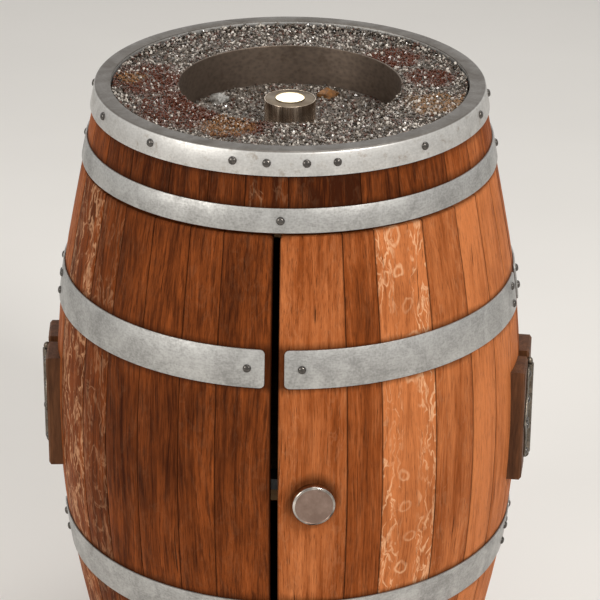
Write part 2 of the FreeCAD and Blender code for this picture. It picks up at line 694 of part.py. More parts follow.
def catch_parts():
    """Housing of the double magnetic catch, and the two magnets in its front."""
    front = -catch_front()
    body_front = front + MAGNET_THICKNESS
    corner = Vector(-CATCH_HALF_WIDTH, body_front, SHELF_TOP)
    housing = Part.makeBox(2 * CATCH_HALF_WIDTH, CATCH_DEPTH, CATCH_HEIGHT, corner)
    half_way = SHELF_TOP + CATCH_HEIGHT / 2
    upright = [edge for edge in housing.Edges if abs(edge.CenterOfMass.z - half_way) < 0.01]
    housing = housing.makeFillet(MAGNET_MARGIN, upright)
    magnets = []
    for left in (MAGNET_MARGIN - CATCH_HALF_WIDTH, CATCH_HALF_WIDTH - MAGNET_MARGIN - MAGNET_WIDTH):
        corner = Vector(left, front, SHELF_TOP + MAGNET_MARGIN)
        magnets.append(Part.makeBox(MAGNET_WIDTH, MAGNET_THICKNESS, CATCH_HEIGHT - 2 * MAGNET_MARGIN, corner))
    return housing, magnets


# ---------------------------------------------------------------- fire top

def tray_radius():
    """Outer radius of the tray, which passes the cap's lip and the narrowest part of the chime."""
    throat = side_radius(STAVE_TOP - CHIME_LENGTH) - STAVE_THICKNESS
    return min(CAP_INNER_RADIUS, throat) - TRAY_CLEARANCE


def gravel_tray():
    radius = tray_radius()
    low = TOP_HEAD_FACE
    rim = CASK_HEIGHT - TRAY_RIM_DROP
    hole = BOWL_RADIUS + TRAY_CLEARANCE
    points = [(hole, low), (radius, low), (radius, rim), (radius - TRAY_SHEET, rim)]
    return swept(points + [(radius - TRAY_SHEET, low + TRAY_SHEET), (hole, low + TRAY_SHEET)])


def fire_bowl():
    """Round bowl carried by a collar that rests on the tray."""
    inner = BOWL_RADIUS - BOWL_WALL
    collar = BOWL_RADIUS + COLLAR_WIDTH
    collar_low = COLLAR_TOP - BOWL_WALL
    points = [
        (0, BOWL_FLOOR), (BOWL_RADIUS, BOWL_FLOOR), (BOWL_RADIUS, collar_low), (collar, collar_low),
        (collar, COLLAR_TOP), (BOWL_RADIUS, COLLAR_TOP), (BOWL_RADIUS, BOWL_TOP), (inner, BOWL_TOP),
        (inner, BOWL_FLOOR + BOWL_WALL), (0, BOWL_FLOOR + BOWL_WALL),
    ]
    return swept(points)


def outer_gravel():
    inner = BOWL_RADIUS + GRAVEL_CLEARANCE
    outer = tray_radius() - TRAY_SHEET - GRAVEL_CLEARANCE
    collar = BOWL_RADIUS + COLLAR_WIDTH + GRAVEL_CLEARANCE
    level = CASK_HEIGHT - OUTER_GRAVEL_DROP
    floor = TOP_HEAD_FACE + TRAY_SHEET
    over_collar = COLLAR_TOP + GRAVEL_CLEARANCE
    points = [
        (collar, floor), (outer, floor), (outer, level), ((inner + outer) / 2, level + GRAVEL_MOUND),
        (inner, level), (inner, over_collar), (collar, over_collar),
    ]
    return swept(points)


def bowl_gravel():
    inner = CUP_RADIUS + GRAVEL_CLEARANCE
    outer = BOWL_RADIUS - BOWL_WALL - GRAVEL_CLEARANCE
    level = CASK_HEIGHT - BOWL_GRAVEL_DROP
    floor = BOWL_FLOOR + BOWL_WALL
    points = [(inner, floor), (outer, floor), (outer, level), (inner, level)]
    return swept(points)


def burner_cup():
    inner = CUP_RADIUS - CUP_WALL
    floor = BOWL_FLOOR + BOWL_WALL
    points = [
        (0, floor), (CUP_RADIUS, floor), (CUP_RADIUS, CUP_TOP), (inner, CUP_TOP),
        (inner, floor + CUP_WALL), (0, floor + CUP_WALL),
    ]
    return turned(points, CUP_FLAT_COUNT)


def fuel_can():
    """Thin can with a ring-shaped top round its opening."""
    radius = CUP_RADIUS - CUP_WALL - CAN_CLEARANCE
    low = BOWL_FLOOR + BOWL_WALL + CUP_WALL
    inner = radius - CAN_WALL
    lip = CAN_OPENING_RADIUS + CAN_WALL
    lip_top = CUP_TOP + CAN_LIP_HEIGHT
    points = [
        (0, low), (radius, low), (radius, CUP_TOP), (lip, CUP_TOP), (lip, lip_top),
        (CAN_OPENING_RADIUS, lip_top), (CAN_OPENING_RADIUS, CUP_TOP - CAN_WALL), (inner, CUP_TOP - CAN_WALL),
        (inner, low + CAN_WALL), (0, low + CAN_WALL),
    ]
    return turned(points, CUP_FLAT_COUNT)


def fuel():
    radius = CUP_RADIUS - CUP_WALL - CAN_CLEARANCE - CAN_WALL - FUEL_CLEARANCE
    low = BOWL_FLOOR + BOWL_WALL + CUP_WALL + CAN_WALL
    return turned(bar_section(radius, low, CUP_TOP - FUEL_DROP), CUP_FLAT_COUNT)


# ---------------------------------------------------------------- assemblies

def build_carcass(cask_form):
    """Everything that stands still: fixed staves, hoops, heads, shelf and the fixed half of the hinges."""
    export("rear_staves", staves(full_stave_section(), REAR_START, REAR_END, REAR_WIDTHS))
    export("upper_front_staves", staves(upper_stave_section(), -REAR_START, REAR_START, UPPER_FRONT_WIDTHS))
    export("lower_front_staves", staves(lower_stave_section(), -REAR_START, REAR_START, LOWER_FRONT_WIDTHS))
    build_hoops()

    stop_depth = STAVE_THICKNESS + STOP_CLEARANCE
    back_depth = STAVE_THICKNESS + RAIL_THICKNESS
    rail_edge = HINGE_AZIMUTH - arc_degrees(RAIL_END_SETBACK)
    rail_points = [
        (DOOR_END_DROP + RAIL_OVERLAP, stop_depth), (FIXED_END_DROP, stop_depth),
        (FIXED_END_DROP, STAVE_THICKNESS), (FIXED_END_DROP - RAIL_SEAT, STAVE_THICKNESS),
        (FIXED_END_DROP - RAIL_SEAT, back_depth), (DOOR_END_DROP + RAIL_OVERLAP, back_depth),
    ]
    export("sill_rail", [swept(side_section(rail_points), -rail_edge, rail_edge)])
    rail_points = [(CASK_HEIGHT - drop, depth) for drop, depth in rail_points]
    export("head_rail", [swept(side_section(rail_points), -rail_edge, rail_edge)])

    cleat_high = SHELF_TOP - SHELF_THICKNESS
    cleat_turn = arc_degrees(CLEAT_END_SETBACK)
    cleat_inner = STAVE_THICKNESS + CLEAT_THICKNESS
    cleat_face = band_section(cleat_high - CLEAT_HEIGHT, cleat_high, STAVE_THICKNESS, cleat_inner)
    export("shelf_cleat", [swept(cleat_face, REAR_START + cleat_turn, REAR_END - cleat_turn)])
    export("shelf", [shelf_board()])
    housing, magnets = catch_parts()
    export("catch_housing", [housing])
    export("catch_magnets", magnets)

    cutout_radius = BOWL_RADIUS + BOWL_CUTOUT_CLEARANCE
    cutout = swept(bar_section(cutout_radius, 0, CASK_HEIGHT))
    export("bottom_head_boards", boards(cask_head(HEAD_DROP, 1), HEAD_BOARD_COUNT))
    export("top_head_boards", boards(cask_head(TOP_HEAD_FACE, -1).cut(cutout), HEAD_BOARD_COUNT))

    post_nails = []
    for name, side in (("left", -1), ("right", 1)):
        azimuth = side * HINGE_AZIMUTH
        export(name + "_post_block", [hinge_block(side, azimuth, cask_form)])
        export(name + "_post_leaf", [at_azimuth(hinge_leaf(side, False), azimuth)])
        export(name + "_hinge_pin", [at_azimuth(hinge_pin(), azimuth)])
        post_nails += [at_azimuth(nail, azimuth) for nail in leaf_nails(side)]
    export("post_leaf_nails", post_nails)


def build_hoops():
    """Hoops and rim cap with their rivets."""
    export("rim_cap", [rim_cap()])
    export("rim_rivets", rivets(RIM_RIVET_AZIMUTHS, CASK_HEIGHT - CAP_HEIGHT / 2, cap_skin()))
    export("upper_quarter_hoop", [swept(hoop_section(QUARTER_HOOP_DROP, QUARTER_HOOP_WIDTH, True))])
    export("lower_quarter_hoop", [swept(hoop_section(QUARTER_HOOP_DROP, QUARTER_HOOP_WIDTH, False))])
    drop = QUARTER_HOOP_DROP + QUARTER_HOOP_WIDTH / 2
    heads = rivets(QUARTER_RIVET_AZIMUTHS, CASK_HEIGHT - drop, HOOP_THICKNESS)
    export("quarter_hoop_rivets", heads + rivets(QUARTER_RIVET_AZIMUTHS, drop, HOOP_THICKNESS))
    export("foot_hoop", [swept(hoop_section(FOOT_HOOP_DROP, FOOT_HOOP_WIDTH, False))])
    foot_middle = FOOT_HOOP_DROP + FOOT_HOOP_WIDTH / 2
    export("foot_hoop_rivets", rivets(FOOT_RIVET_AZIMUTHS, foot_middle, HOOP_THICKNESS))

    setback = arc_degrees(HOOP_END_SETBACK)
    export("upper_bilge_hoop", [hoop_length(True, REAR_START + setback, REAR_END - setback)])
    export("lower_bilge_hoop", [hoop_length(False, REAR_START + setback, REAR_END - setback)])
    inset = setback + arc_degrees(RIVET_INSET)
    export("bilge_hoop_rivets", bilge_rivets([180], [REAR_START + inset, REAR_END - inset]))


def cap_skin():
    """Distance from the staves out to the cap's skirt face, square to the side."""
    return CAP_SKIRT_THICKNESS * math.cos(math.atan(END_SLOPE))


def build_fire_top():
    export("gravel_tray", [gravel_tray()])
    export("outer_gravel", [outer_gravel()])
    export("fire_bowl", [fire_bowl()])
    export("bowl_gravel", [bowl_gravel()])
    export("burner_cup", [burner_cup()])
    export("fuel_can", [fuel_can()])
    export("fuel", [fuel()])


def build_door(name, side, widths, cask_form):
    """One door: staves, hoop lengths, ledges, its half of the hinge and its strike plate."""
    near, far = (GAP_EDGE, DOOR_SPAN) if side > 0 else (-DOOR_SPAN, -GAP_EDGE)
    hinge_azimuth = side * HINGE_AZIMUTH
    door_staves = staves(band_section(DOOR_LOW, DOOR_HIGH, 0.0, STAVE_THICKNESS), near, far, widths)
    edge = 0 if side > 0 else -1
    door_staves[edge] = rounded_gap_corners(door_staves[edge], side * GAP_EDGE)
    if side > 0:
        hole_radius = KNOB_BOLT_RADIUS + BOLT_CLEARANCE
        hole = turned(bar_section(hole_radius, -STAVE_THICKNESS, STAVE_THICKNESS), BOLT_SHANK_FLAT_COUNT)
        door_staves[edge] = door_staves[edge].cut(on_side(hole, KNOB_AZIMUTH, MIDDLE, STAVE_THICKNESS))
        export("pull_knob", [on_side(pull_knob(), KNOB_AZIMUTH, MIDDLE)])
        depth = STAVE_THICKNESS + WASHER_RADIUS ** 2 / (2 * (BILGE_RADIUS - STAVE_THICKNESS)) + WASHER_SEAT
        bolt = [on_side(piece, KNOB_AZIMUTH, MIDDLE, depth, inwards=True) for piece in knob_bolt()]
        export("knob_bolt", bolt)
    export(name + "_door_staves", door_staves)

    setback = arc_degrees(LEDGE_END_SETBACK)
    ledges = []
    for middle in (LEDGE_DROP, CASK_HEIGHT - LEDGE_DROP):
        low, high = middle - LEDGE_WIDTH / 2, middle + LEDGE_WIDTH / 2
        face = band_section(low, high, STAVE_THICKNESS, STAVE_THICKNESS + LEDGE_THICKNESS)
        ledges.append(swept(face, near + setback, far - setback))
    export(name + "_ledges", ledges)

    export(name + "_door_block", [hinge_block(-side, hinge_azimuth, cask_form)])
    export(name + "_door_leaf", [at_azimuth(hinge_leaf(-side, True), hinge_azimuth)])
    export(name + "_leaf_nails", [at_azimuth(nail, hinge_azimuth) for nail in leaf_nails(-side)])
    export(name + "_strike_plate", [strike_plate(side)])

    hoop_setback = arc_degrees(HOOP_END_SETBACK)
    for level, top in (("upper", True), ("lower", False)):
        export(name + "_" + level + "_hoop", [hoop_length(top, near + hoop_setback, far - hoop_setback)])
    inset = hoop_setback + arc_degrees(RIVET_INSET)
    gap_rivet, hinge_rivet = (near + inset, far - inset) if side > 0 else (far - inset, near + inset)
    export(name + "_hoop_rivets", bilge_rivets([gap_rivet], [hinge_rivet]))


def main():
    os.makedirs("parts", exist_ok=True)
    cask_form = swept([(0, 0)] + side_corners() + [(0, CASK_HEIGHT)])
    build_carcass(cask_form)
    build_fire_top()
    build_door("left", -1, LEFT_DOOR_WIDTHS, cask_form)
    build_door("right", 1, RIGHT_DOOR_WIDTHS, cask_form)


main()
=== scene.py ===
import json
import logging
import math
import random
from dataclasses import dataclass
from enum import Enum
from typing import Callable, Iterable, Sequence

import bmesh
import bpy
from bpy.types import Collection, GeometryNodeTree, Material, Node, NodeSocket, Object
from mathutils import Matrix, Vector

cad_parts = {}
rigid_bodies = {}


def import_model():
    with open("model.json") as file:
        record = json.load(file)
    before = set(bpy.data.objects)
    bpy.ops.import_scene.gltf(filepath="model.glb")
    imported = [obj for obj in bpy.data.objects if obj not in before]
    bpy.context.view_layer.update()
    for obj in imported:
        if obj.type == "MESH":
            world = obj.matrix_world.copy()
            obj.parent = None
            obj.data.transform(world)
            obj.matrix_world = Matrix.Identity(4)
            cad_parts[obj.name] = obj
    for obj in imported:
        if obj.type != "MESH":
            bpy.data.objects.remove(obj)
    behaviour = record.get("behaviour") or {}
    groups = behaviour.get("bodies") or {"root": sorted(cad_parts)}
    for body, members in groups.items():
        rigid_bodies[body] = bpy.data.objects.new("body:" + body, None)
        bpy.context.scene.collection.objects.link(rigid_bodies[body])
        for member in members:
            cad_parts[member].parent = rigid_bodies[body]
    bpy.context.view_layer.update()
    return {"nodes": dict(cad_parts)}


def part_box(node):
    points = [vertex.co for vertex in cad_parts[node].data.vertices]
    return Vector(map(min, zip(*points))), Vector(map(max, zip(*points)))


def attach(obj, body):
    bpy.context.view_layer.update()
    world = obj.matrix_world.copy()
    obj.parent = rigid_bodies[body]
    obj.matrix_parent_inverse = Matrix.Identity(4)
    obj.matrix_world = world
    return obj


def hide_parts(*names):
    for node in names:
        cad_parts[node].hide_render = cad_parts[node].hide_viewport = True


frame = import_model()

# Looks of the barrel bar cabinet, in metres, with azimuths in degrees.
# Pieces are shaped round the Z axis as if the cask stood on the origin, with the front towards -Y. An azimuth
# is counted from the front and grows towards +X. placed() then moves each piece onto the cask's real axis.

log = logging.getLogger("barrel_bar")
Point = tuple[float, float]
Triple = tuple[float, float, float]
Colour = tuple[float, float, float]
TINY = 1e-5


class Body(Enum):
    """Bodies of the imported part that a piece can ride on."""

    CARCASS = "carcass"
    LEFT_DOOR = "left_door"
    RIGHT_DOOR = "right_door"
    FUEL_CAN = "fuel_can"


class Slot(Enum):
    """Material slots of the record, listed here but not used by any piece."""

    STAVE_OAK = "stave_oak"
    HOOP_STEEL = "hoop_steel"
    RIVET_IRON = "rivet_iron"
    WROUGHT_IRON = "wrought_iron"
    NAIL_IRON = "nail_iron"
    BOWL_STEEL = "bowl_steel"
    CRUSHED_GLASS = "crushed_glass"
    POLISHED_STEEL = "polished_steel"
    CAN_STEEL = "can_steel"
    FUEL_GEL = "fuel_gel"
    KNOB_STEEL = "knob_steel"


# ---------------------------------------------------------------- node materials


def even(scale: float) -> Triple:
    """Returns the same scale along all three axes."""
    return scale, scale, scale


@dataclass(frozen=True)
class Grain:
    """A noise: how fine it is along each axis, how detailed, rough and twisted, and where it starts."""

    scale: Triple
    detail: float = 3.0
    rough: float = 0.5
    twist: float = 0.0
    shift: Triple = (0.0, 0.0, 0.0)


class Finish:
    """A procedural material that is built up node by node."""

    def __init__(self, name: str) -> None:
        """Starts a material with a shader and an output.

        Args:
            name: Name of the material.
        """
        self.material: Material = bpy.data.materials.new(name)
        self.material.use_nodes = True
        self.tree = self.material.node_tree
        self.shader: Node = self.tree.nodes["Principled BSDF"]

    def node(self, kind: str, settings: dict[str, object] | None = None, **sockets: object) -> Node:
        """Adds a node.

        Args:
            kind: Class of the node, without its ShaderNode prefix.
            settings: Properties of the node itself.
            **sockets: Values or links of its inputs. An underscore stands for a space, and i0 for the
                first input.

        Returns:
            The new node.
        """
        made = self.tree.nodes.new("ShaderNode" + kind)
        for key, value in (settings or {}).items():
            setattr(made, key, value)
        for key, value in sockets.items():
            target = made.inputs[int(key[1:])] if key[1:].isdigit() else made.inputs[key.replace("_", " ")]
            self.feed(target, value)
        return made

    def feed(self, target: NodeSocket, value: object) -> None:
        """Links a socket to an output, or sets its value.

        Args:
            target: Input socket.
            value: Output socket, number or tuple.
        """
        if isinstance(value, NodeSocket):
            self.tree.links.new(value, target)
        else:
            target.default_value = value

    def position(self) -> NodeSocket:
        """Returns the place on the object, in metres."""
        return self.node("TexCoord").outputs["Object"]

    def parts(self, value: NodeSocket) -> Sequence[NodeSocket]:
        """Returns the three parts of a vector or colour."""
        return self.node("SeparateXYZ", Vector=value).outputs

    def vector(self, **axes: NodeSocket) -> NodeSocket:
        """Returns a vector put together from its X, Y and Z."""
        return self.node("CombineXYZ", **axes).outputs[0]

    def step(self, kind: str, operation: str, *values: object) -> Node:
        """Adds one step of arithmetic, with numbers (Math) or vectors (VectorMath)."""
        numbered = {f"i{place}": value for place, value in enumerate(values)}
        return self.node(kind, {"operation": operation}, **numbered)

    def math(self, operation: str, *values: object) -> NodeSocket:
        """Returns the result of one step with numbers."""
        return self.step("Math", operation, *values).outputs[0]

    def plus(self, first: object, second: object) -> NodeSocket:
        """Returns a sum."""
        return self.math("ADD", first, second)

    def minus(self, first: object, second: object) -> NodeSocket:
        """Returns a difference."""
        return self.math("SUBTRACT", first, second)

    def times(self, first: object, second: object) -> NodeSocket:
        """Returns a product."""
        return self.math("MULTIPLY", first, second)

    def larger(self, first: object, second: object) -> NodeSocket:
        """Returns the larger of two values."""
        return self.math("MAXIMUM", first, second)

    def apart(self, first: object, second: object) -> NodeSocket:
        """Returns how far two values are apart."""
        return self.math("ABSOLUTE", self.minus(first, second))

    def length(self, vector: NodeSocket) -> NodeSocket:
        """Returns the length of a vector."""
        return self.step("VectorMath", "LENGTH", vector).outputs["Value"]

    def stretched(self, vector: NodeSocket, scale: Triple, shift: Triple = (0.0, 0.0, 0.0)) -> NodeSocket:
        """Returns a vector scaled and moved along its axes."""
        return self.node("Mapping", Vector=vector, Scale=scale, Location=shift).outputs[0]

    def grain(self, vector: NodeSocket, look: Grain, coloured: bool = False) -> NodeSocket:
        """Returns cloudy noise.

        Args:
            vector: Where it is taken.
            look: Its scale and character.
            coloured: Whether to return a colour, and not a value between 0 and 1.

        Returns:
            The noise.
        """
        made = self.node("TexNoise", Vector=self.stretched(vector, look.scale, look.shift), Scale=1.0)
        for key, value in (("Detail", look.detail), ("Roughness", look.rough), ("Distortion", look.twist)):
            made.inputs[key].default_value = value
        return made.outputs[1 if coloured else 0]

    def cells(self, vector: NodeSocket, scale: float) -> NodeSocket:
        """Returns the distance to the middle of the nearest of many small cells with soft borders."""
        made = self.node("TexVoronoi", {"feature": "SMOOTH_F1"}, Vector=vector, Scale=scale)
        return made.outputs["Distance"]

    def band(
        self, value: object, low: object, high: object, start: object = 0.0, end: object = 1.0
    ) -> NodeSocket:
        """Returns a value spread from one range to another, held at both ends."""
        return self.node("MapRange", {"clamp": True}, i0=value, i1=low, i2=high, i3=start, i4=end).outputs[0]

    def ridge(self, value: NodeSocket, middle: float, core: float, edge: float) -> NodeSocket:
        """Returns 1 where a value is near a middle and 0 where it is further off."""
        return self.band(self.apart(value, middle), core, edge, 1.0, 0.0)

    def ramp(self, value: NodeSocket, stops: Sequence[tuple[float, Colour]]) -> NodeSocket:
        """Returns a colour picked along a row of stops.

        Args:
            value: Where to pick it, from 0 to 1.
            stops: Place and colour of each stop.

        Returns:
            The colour.
        """
        made = self.node("ValToRGB", Fac=value)
        elements = made.color_ramp.elements
        while len(elements) < len(stops):
            elements.new(0.5)
        for element, (place, colour) in zip(elements, stops):
            element.position = place
            element.color = (*colour, 1.0)
        return made.outputs[0]

    def mixed(self, share: NodeSocket, first: object, second: object) -> NodeSocket:
        """Returns two colours mixed.

        Args:
            share: Share of the second.
            first: First colour.
            second: Second colour.

        Returns:
            The mix.
        """
        made = self.node("Mix", {"data_type": "RGBA"})
        for place, value in ((0, share), (6, first), (7, second)):
            self.feed(made.inputs[place], (*value, 1.0) if isinstance(value, tuple) else value)
        return made.outputs[2]

    def relief(
        self, height: NodeSocket, depth: float, strength: float, under: NodeSocket | None = None
    ) -> NodeSocket:
        """Returns a bumped normal.

        Args:
            height: Height of the surface.
            depth: How deep the relief is.
            strength: How much of it counts.
            under: Normal that it is laid over.

        Returns:
            The normal.
        """
        made = self.node("Bump", Height=height, Distance=depth, Strength=strength)
        if under is not None:
            self.feed(made.inputs["Normal"], under)
        return made.outputs[0]

    def dress(self, **sockets: object) -> Material:
        """Sets the shader's sockets.

        Args:
            **sockets: Values or links of the shader's inputs. An underscore stands for a space.

        Returns:
            The finished material.
        """
        for key, value in sockets.items():
            self.feed(self.shader.inputs[key.replace("_", " ")], value)
        return self.material


@dataclass(frozen=True)
class CaskOak:
    """Varnished oak of the outer staves, with figure that follows the round of the cask.

    The attribute of a stave holds how far its figure is shifted, its tone and its share of ray flecks, and in
    the alpha the place across it, from 0 at one edge to 1 at the other.
    """

    knob_azimuth: float
    name: str = "cask_oak"
    shade: Colour = (0.036, 0.008, 0.002)
    body: Colour = (0.230, 0.056, 0.012)
    light: Colour = (0.53, 0.175, 0.058)
    fleck: Colour = (0.73, 0.41, 0.225)
    # Colour of the pores, the checks and the seams, and of the painted shade.
    pore_and_shade: Colour = (0.026, 0.007, 0.002)
    round_radius: float = 0.33
    tone_attribute: str = "stave_tone"
    slide: float = 9.0
    sway: Grain = Grain((7, 7, 2.6), 2.0)
    sway_width: float = 0.045
    growth: Grain = Grain((110, 35, 3.2), 4.0, 0.6, 0.3)
    growth_share: float = 0.80
    fibres: Grain = Grain((560, 170, 15), 5.0, 0.65)
    fibre_share: float = 0.65
    clouds: Grain = Grain((14, 14, 6), 3.0, 0.6)
    cloud_share: float = 0.80
    streaks: Grain = Grain((210, 70, 17), 4.0, 0.62, 0.0, (1.0, 2.0, 3.0))
    pores: Grain = Grain((1050, 300, 52), 2.0)
    checks: Grain = Grain((260, 80, 4.5), 2.0, 0.5, 0.0, (3.0, 8.0, 1.0))
    wander: Grain = Grain((60, 60, 45), 2.0)
    wander_width: Triple = (0.017, 0.014, 0.022)
    branches: Grain = Grain((36, 20, 13), 3.0, 0.6, 0.9, (1.0, 6.0, 3.0))
    jags: Grain = Grain((75, 40, 22), 2.5, 0.5, 0.8, (5.0, 5.0, 5.0))
    breaks: Grain = Grain((90, 60, 40), 3.0, 0.6, 0.0, (2.0, 7.0, 1.0))
    patches: Grain = Grain((8, 8, 5), 2.0, 0.5, 0.0, (9.0, 4.0, 2.0))
    oval_pitch: float = 0.048
    oval_width: float = 0.086
    oval_places: Point = (-0.36, -0.62)
    oval_radii: Point = (0.0055, 0.0145)
    oval_line: Point = (0.0006, 0.0030)
    hoop_lines: tuple[Point, ...] = ((0.4600, 0.0170), (0.3848, 0.0160), (0.1885, 0.0264))
    # Painted shade beside the rim band and the hoops: how far it reaches in and out, and how dark it is.
    hoop_shade_inside: float = 0.001
    hoop_shade_reach: Point = (0.003, 0.015)
    hoop_shade_share: float = 0.75
    skin_depth: Point = (0.004, 0.010)
    knob_shadow_core: float = 0.030
    knob_shadow_reach: Point = (0.036, 0.048)
    knob_shadow_share: float = 0.65

    def hoop_shade(self, f: Finish, height: NodeSocket, ragged: NodeSocket) -> NodeSocket:
        """Returns the painted shade on the wood beside the rim band and the hoops, where their shadows fall.

        Args:
            f: Material in the making.
            height: Height on the cask.
            ragged: Noise that breaks up the stain.

        Returns:
            A share between 0 and 1.
        """
        # Painted shade: bands of darker wood along the edges of the rim band and the hoops.
        away = f.apart(height, SIDE.height / 2)
        near, far = self.hoop_shade_reach
        total: object = 0.0
        for middle, half in self.hoop_lines:
            reach = f.band(ragged, 0.3, 0.7, half + near, half + far)
            beside = f.band(f.apart(away, middle), half - self.hoop_shade_inside, reach, self.hoop_shade_share, 0.0)
            total = f.larger(total, beside)
        return total

    def outside(self, f: Finish, height: NodeSocket, radius: NodeSocket) -> NodeSocket:
        """Returns 1 on the skin of the cask and 0 deeper in and on the inside.

        Args:
            f: Material in the making.
            height: Height on the cask.
            radius: Distance from the cask's axis.

        Returns:
            A share between 0 and 1.
        """
        slope, bend_radius = SIDE.bend()
        away = f.apart(height, SIDE.height / 2)
        bent = f.math("MINIMUM", away, SIDE.height / 2 - SIDE.straight_end)
        sagged = f.times(f.times(bent, bent), 1 / (2 * bend_radius))
        straight = f.times(f.minus(away, bent), slope)
        skin = f.minus(SIDE.bilge_radius, f.plus(sagged, straight))
        return f.band(f.minus(skin, radius), *self.skin_depth, 1.0, 0.0)

    def knob_shadow(self, f: Finish, place: NodeSocket, ragged: NodeSocket) -> NodeSocket:
        """Returns the painted shadow on the wood round the knob.

        Args:
            f: Material in the making.
            place: Place on the cask.
            ragged: Noise that breaks up the edge.

        Returns:
            A share between 0 and 1.
        """
        # Painted shadow: darker wood in a ragged ring round the knob.
        centre = SIDE.stand(self.knob_azimuth, SIDE.height / 2, 0.0).to_translation()
        away = f.step("VectorMath", "DISTANCE", place, tuple(centre)).outputs["Value"]
        return f.band(away, self.knob_shadow_core, f.band(ragged, 0.3, 0.7, *self.knob_shadow_reach), self.knob_shadow_share, 0.0)

    def ovals(self, f: Finish, bent: NodeSocket, beside: NodeSocket) -> NodeSocket:
        """Returns a row of ovals down the middle of a stave, each with a chance size and place.

        Args:
            f: Material in the making.
            bent: Place on the stave, made to wander.
            beside: Place across the stave, from 0 to 1.

        Returns:
            A share between 0 and 1.
        """
        row = f.times(f.parts(bent)[2], 1 / self.oval_pitch)
        chance = f.node("TexWhiteNoise", {"noise_dimensions": "1D"}, W=f.math("FLOOR", row))
        aside = f.plus(beside, f.band(chance.outputs["Value"], 0.0, 1.0, *self.oval_places))
        upward = f.times(f.minus(f.math("FRACT", row), 0.5), self.oval_pitch)
        away = f.length(f.vector(X=f.times(aside, self.oval_width), Y=upward))
        size = f.parts(chance.outputs["Color"])[1]
        off_line = f.apart(away, f.band(size, 0.2, 1.0, *self.oval_radii))
        return f.times(f.band(off_line, *self.oval_line, 1.0, 0.0), f.band(size, 0.20, 0.32, 0.0, 0.8))

    def rays(
        self, f: Finish, wood: NodeSocket, beside: NodeSocket, off_middle: NodeSocket, tone: NodeSocket
    ) -> NodeSocket:
        """Returns where pale ray flecks lie.

        Light staves have ovals down the middle and jagged lines beside them, dark ones broad branching bands.

        Args:
            f: Material in the making.
            wood: Place on the stave, round the cask, into it and along it.
            beside: Place across the stave, from 0 to 1.
            off_middle: Distance from the middle of the stave, 1 at its edges.
            tone: Tone of the stave.

        Returns:
            A share between 0 and 1.
        """
        wander = f.grain(wood, self.wander, coloured=True)
        bent = f.step("VectorMath", "MULTIPLY_ADD", wander, self.wander_width, wood).outputs[0]
        oval = f.times(self.ovals(f, bent, beside), f.band(tone, 0.75, 0.85))
        branch = f.ridge(f.grain(bent, self.branches), 0.50, 0.006, 0.042)
        branch = f.times(branch, f.band(tone, 0.45, 0.70, 0.9, 0.0))
        line = f.ridge(f.grain(bent, self.jags), 0.51, 0.010, 0.050)
        line = f.times(line, f.band(off_middle, 0.20, 0.45))
        line = f.times(line, f.band(tone, 0.45, 0.75, 0.35, 1.0))
        broken = f.band(f.grain(wood, self.breaks), 0.36, 0.50)
        patch = f.band(f.grain(wood, self.patches), 0.30, 0.44)
        lines = f.times(f.larger(branch, line), broken)
        oval = f.times(oval, f.band(broken, 0.0, 0.6, 0.45, 1.0))
        return f.times(f.larger(oval, lines), patch)

    def build(self) -> Material:
        """Mixes the wood from its figure, flecks and seams, with painted shade beside the hoops and round the
        knob.

        Returns:
            The material.
        """
        f = Finish(self.name)
        stave = f.node("Attribute", {"attribute_name": self.tone_attribute})
        shift, tone, flecked = f.parts(stave.outputs["Color"])
        beside = stave.outputs["Alpha"]
        off_middle = f.math("ABSOLUTE", f.math("MULTIPLY_ADD", beside, 2.0, -1.0))
        centred = f.stretched(f.position(), even(1), (0, -CASK_AXIS_Y, 0))
        x, y, z = f.parts(centred)
        turn = f.math("ARCTAN2", x, f.times(y, -1.0))
        inward = f.math("SQRT", f.plus(f.times(x, x), f.times(y, y)))
        slide = f.times(shift, self.slide)
        wood = f.vector(X=f.plus(f.times(turn, self.round_radius), slide), Y=inward, Z=f.plus(z, slide))
        swayed = f.vector(X=f.times(f.grain(wood, self.sway), self.sway_width))
        figure = f.step("VectorMath", "ADD", wood, swayed).outputs[0]
        looks = (self.growth, self.fibres, self.streaks, self.pores, self.checks)
        growth, fibres, streaks, pores, checks = (f.grain(figure, look) for look in looks)
        clouds = f.grain(wood, self.clouds)

        level = tone
        shares = ((growth, self.growth_share), (fibres, self.fibre_share), (clouds, self.cloud_share))
        for part, share in shares:
            level = f.math("MULTIPLY_ADD", f.minus(part, 0.5), share, level)
        colour = f.ramp(level, [(0.0, self.shade), (0.5, self.body), (1.0, self.light)])
        streaked = f.times(f.band(streaks, 0.50, 0.64), f.band(tone, 0.40, 0.66, 0.62, 0.12))
        colour = f.mixed(streaked, colour, self.shade)
        pore_share = f.band(pores, 0.56, 0.70, 0.0, 0.5)
        check_share = f.band(checks, 0.69, 0.735, 0.0, 0.8)
        ray = f.times(self.rays(f, wood, beside, off_middle, tone), flecked)
        # Painted shade beside the hoops and painted shadow round the knob, laid on the skin only, in the pore
        # colour.
        painted_shade = f.larger(self.hoop_shade(f, z, clouds), self.knob_shadow(f, centred, growth))
        for share, tint in (
            (pore_share, self.pore_and_shade), (check_share, self.pore_and_shade),
            (f.times(ray, f.band(fibres, 0.3, 0.6, 0.55, 0.95)), self.fleck),
            (f.times(painted_shade, self.outside(f, z, inward)), self.pore_and_shade),
            (f.band(off_middle, 0.945, 1.0, 0.0, 0.85), self.pore_and_shade),
        ):
            colour = f.mixed(share, colour, tint)

        height = f.minus(f.times(fibres, 0.6), f.plus(pore_share, check_share))
        return f.dress(
            Base_Color=colour, Roughness=f.band(growth, 0.3, 0.7, 0.60, 0.46),
            Normal=f.relief(height, 0.0006, 0.6), Specular_IOR_Level=0.25, IOR=1.15,
        )


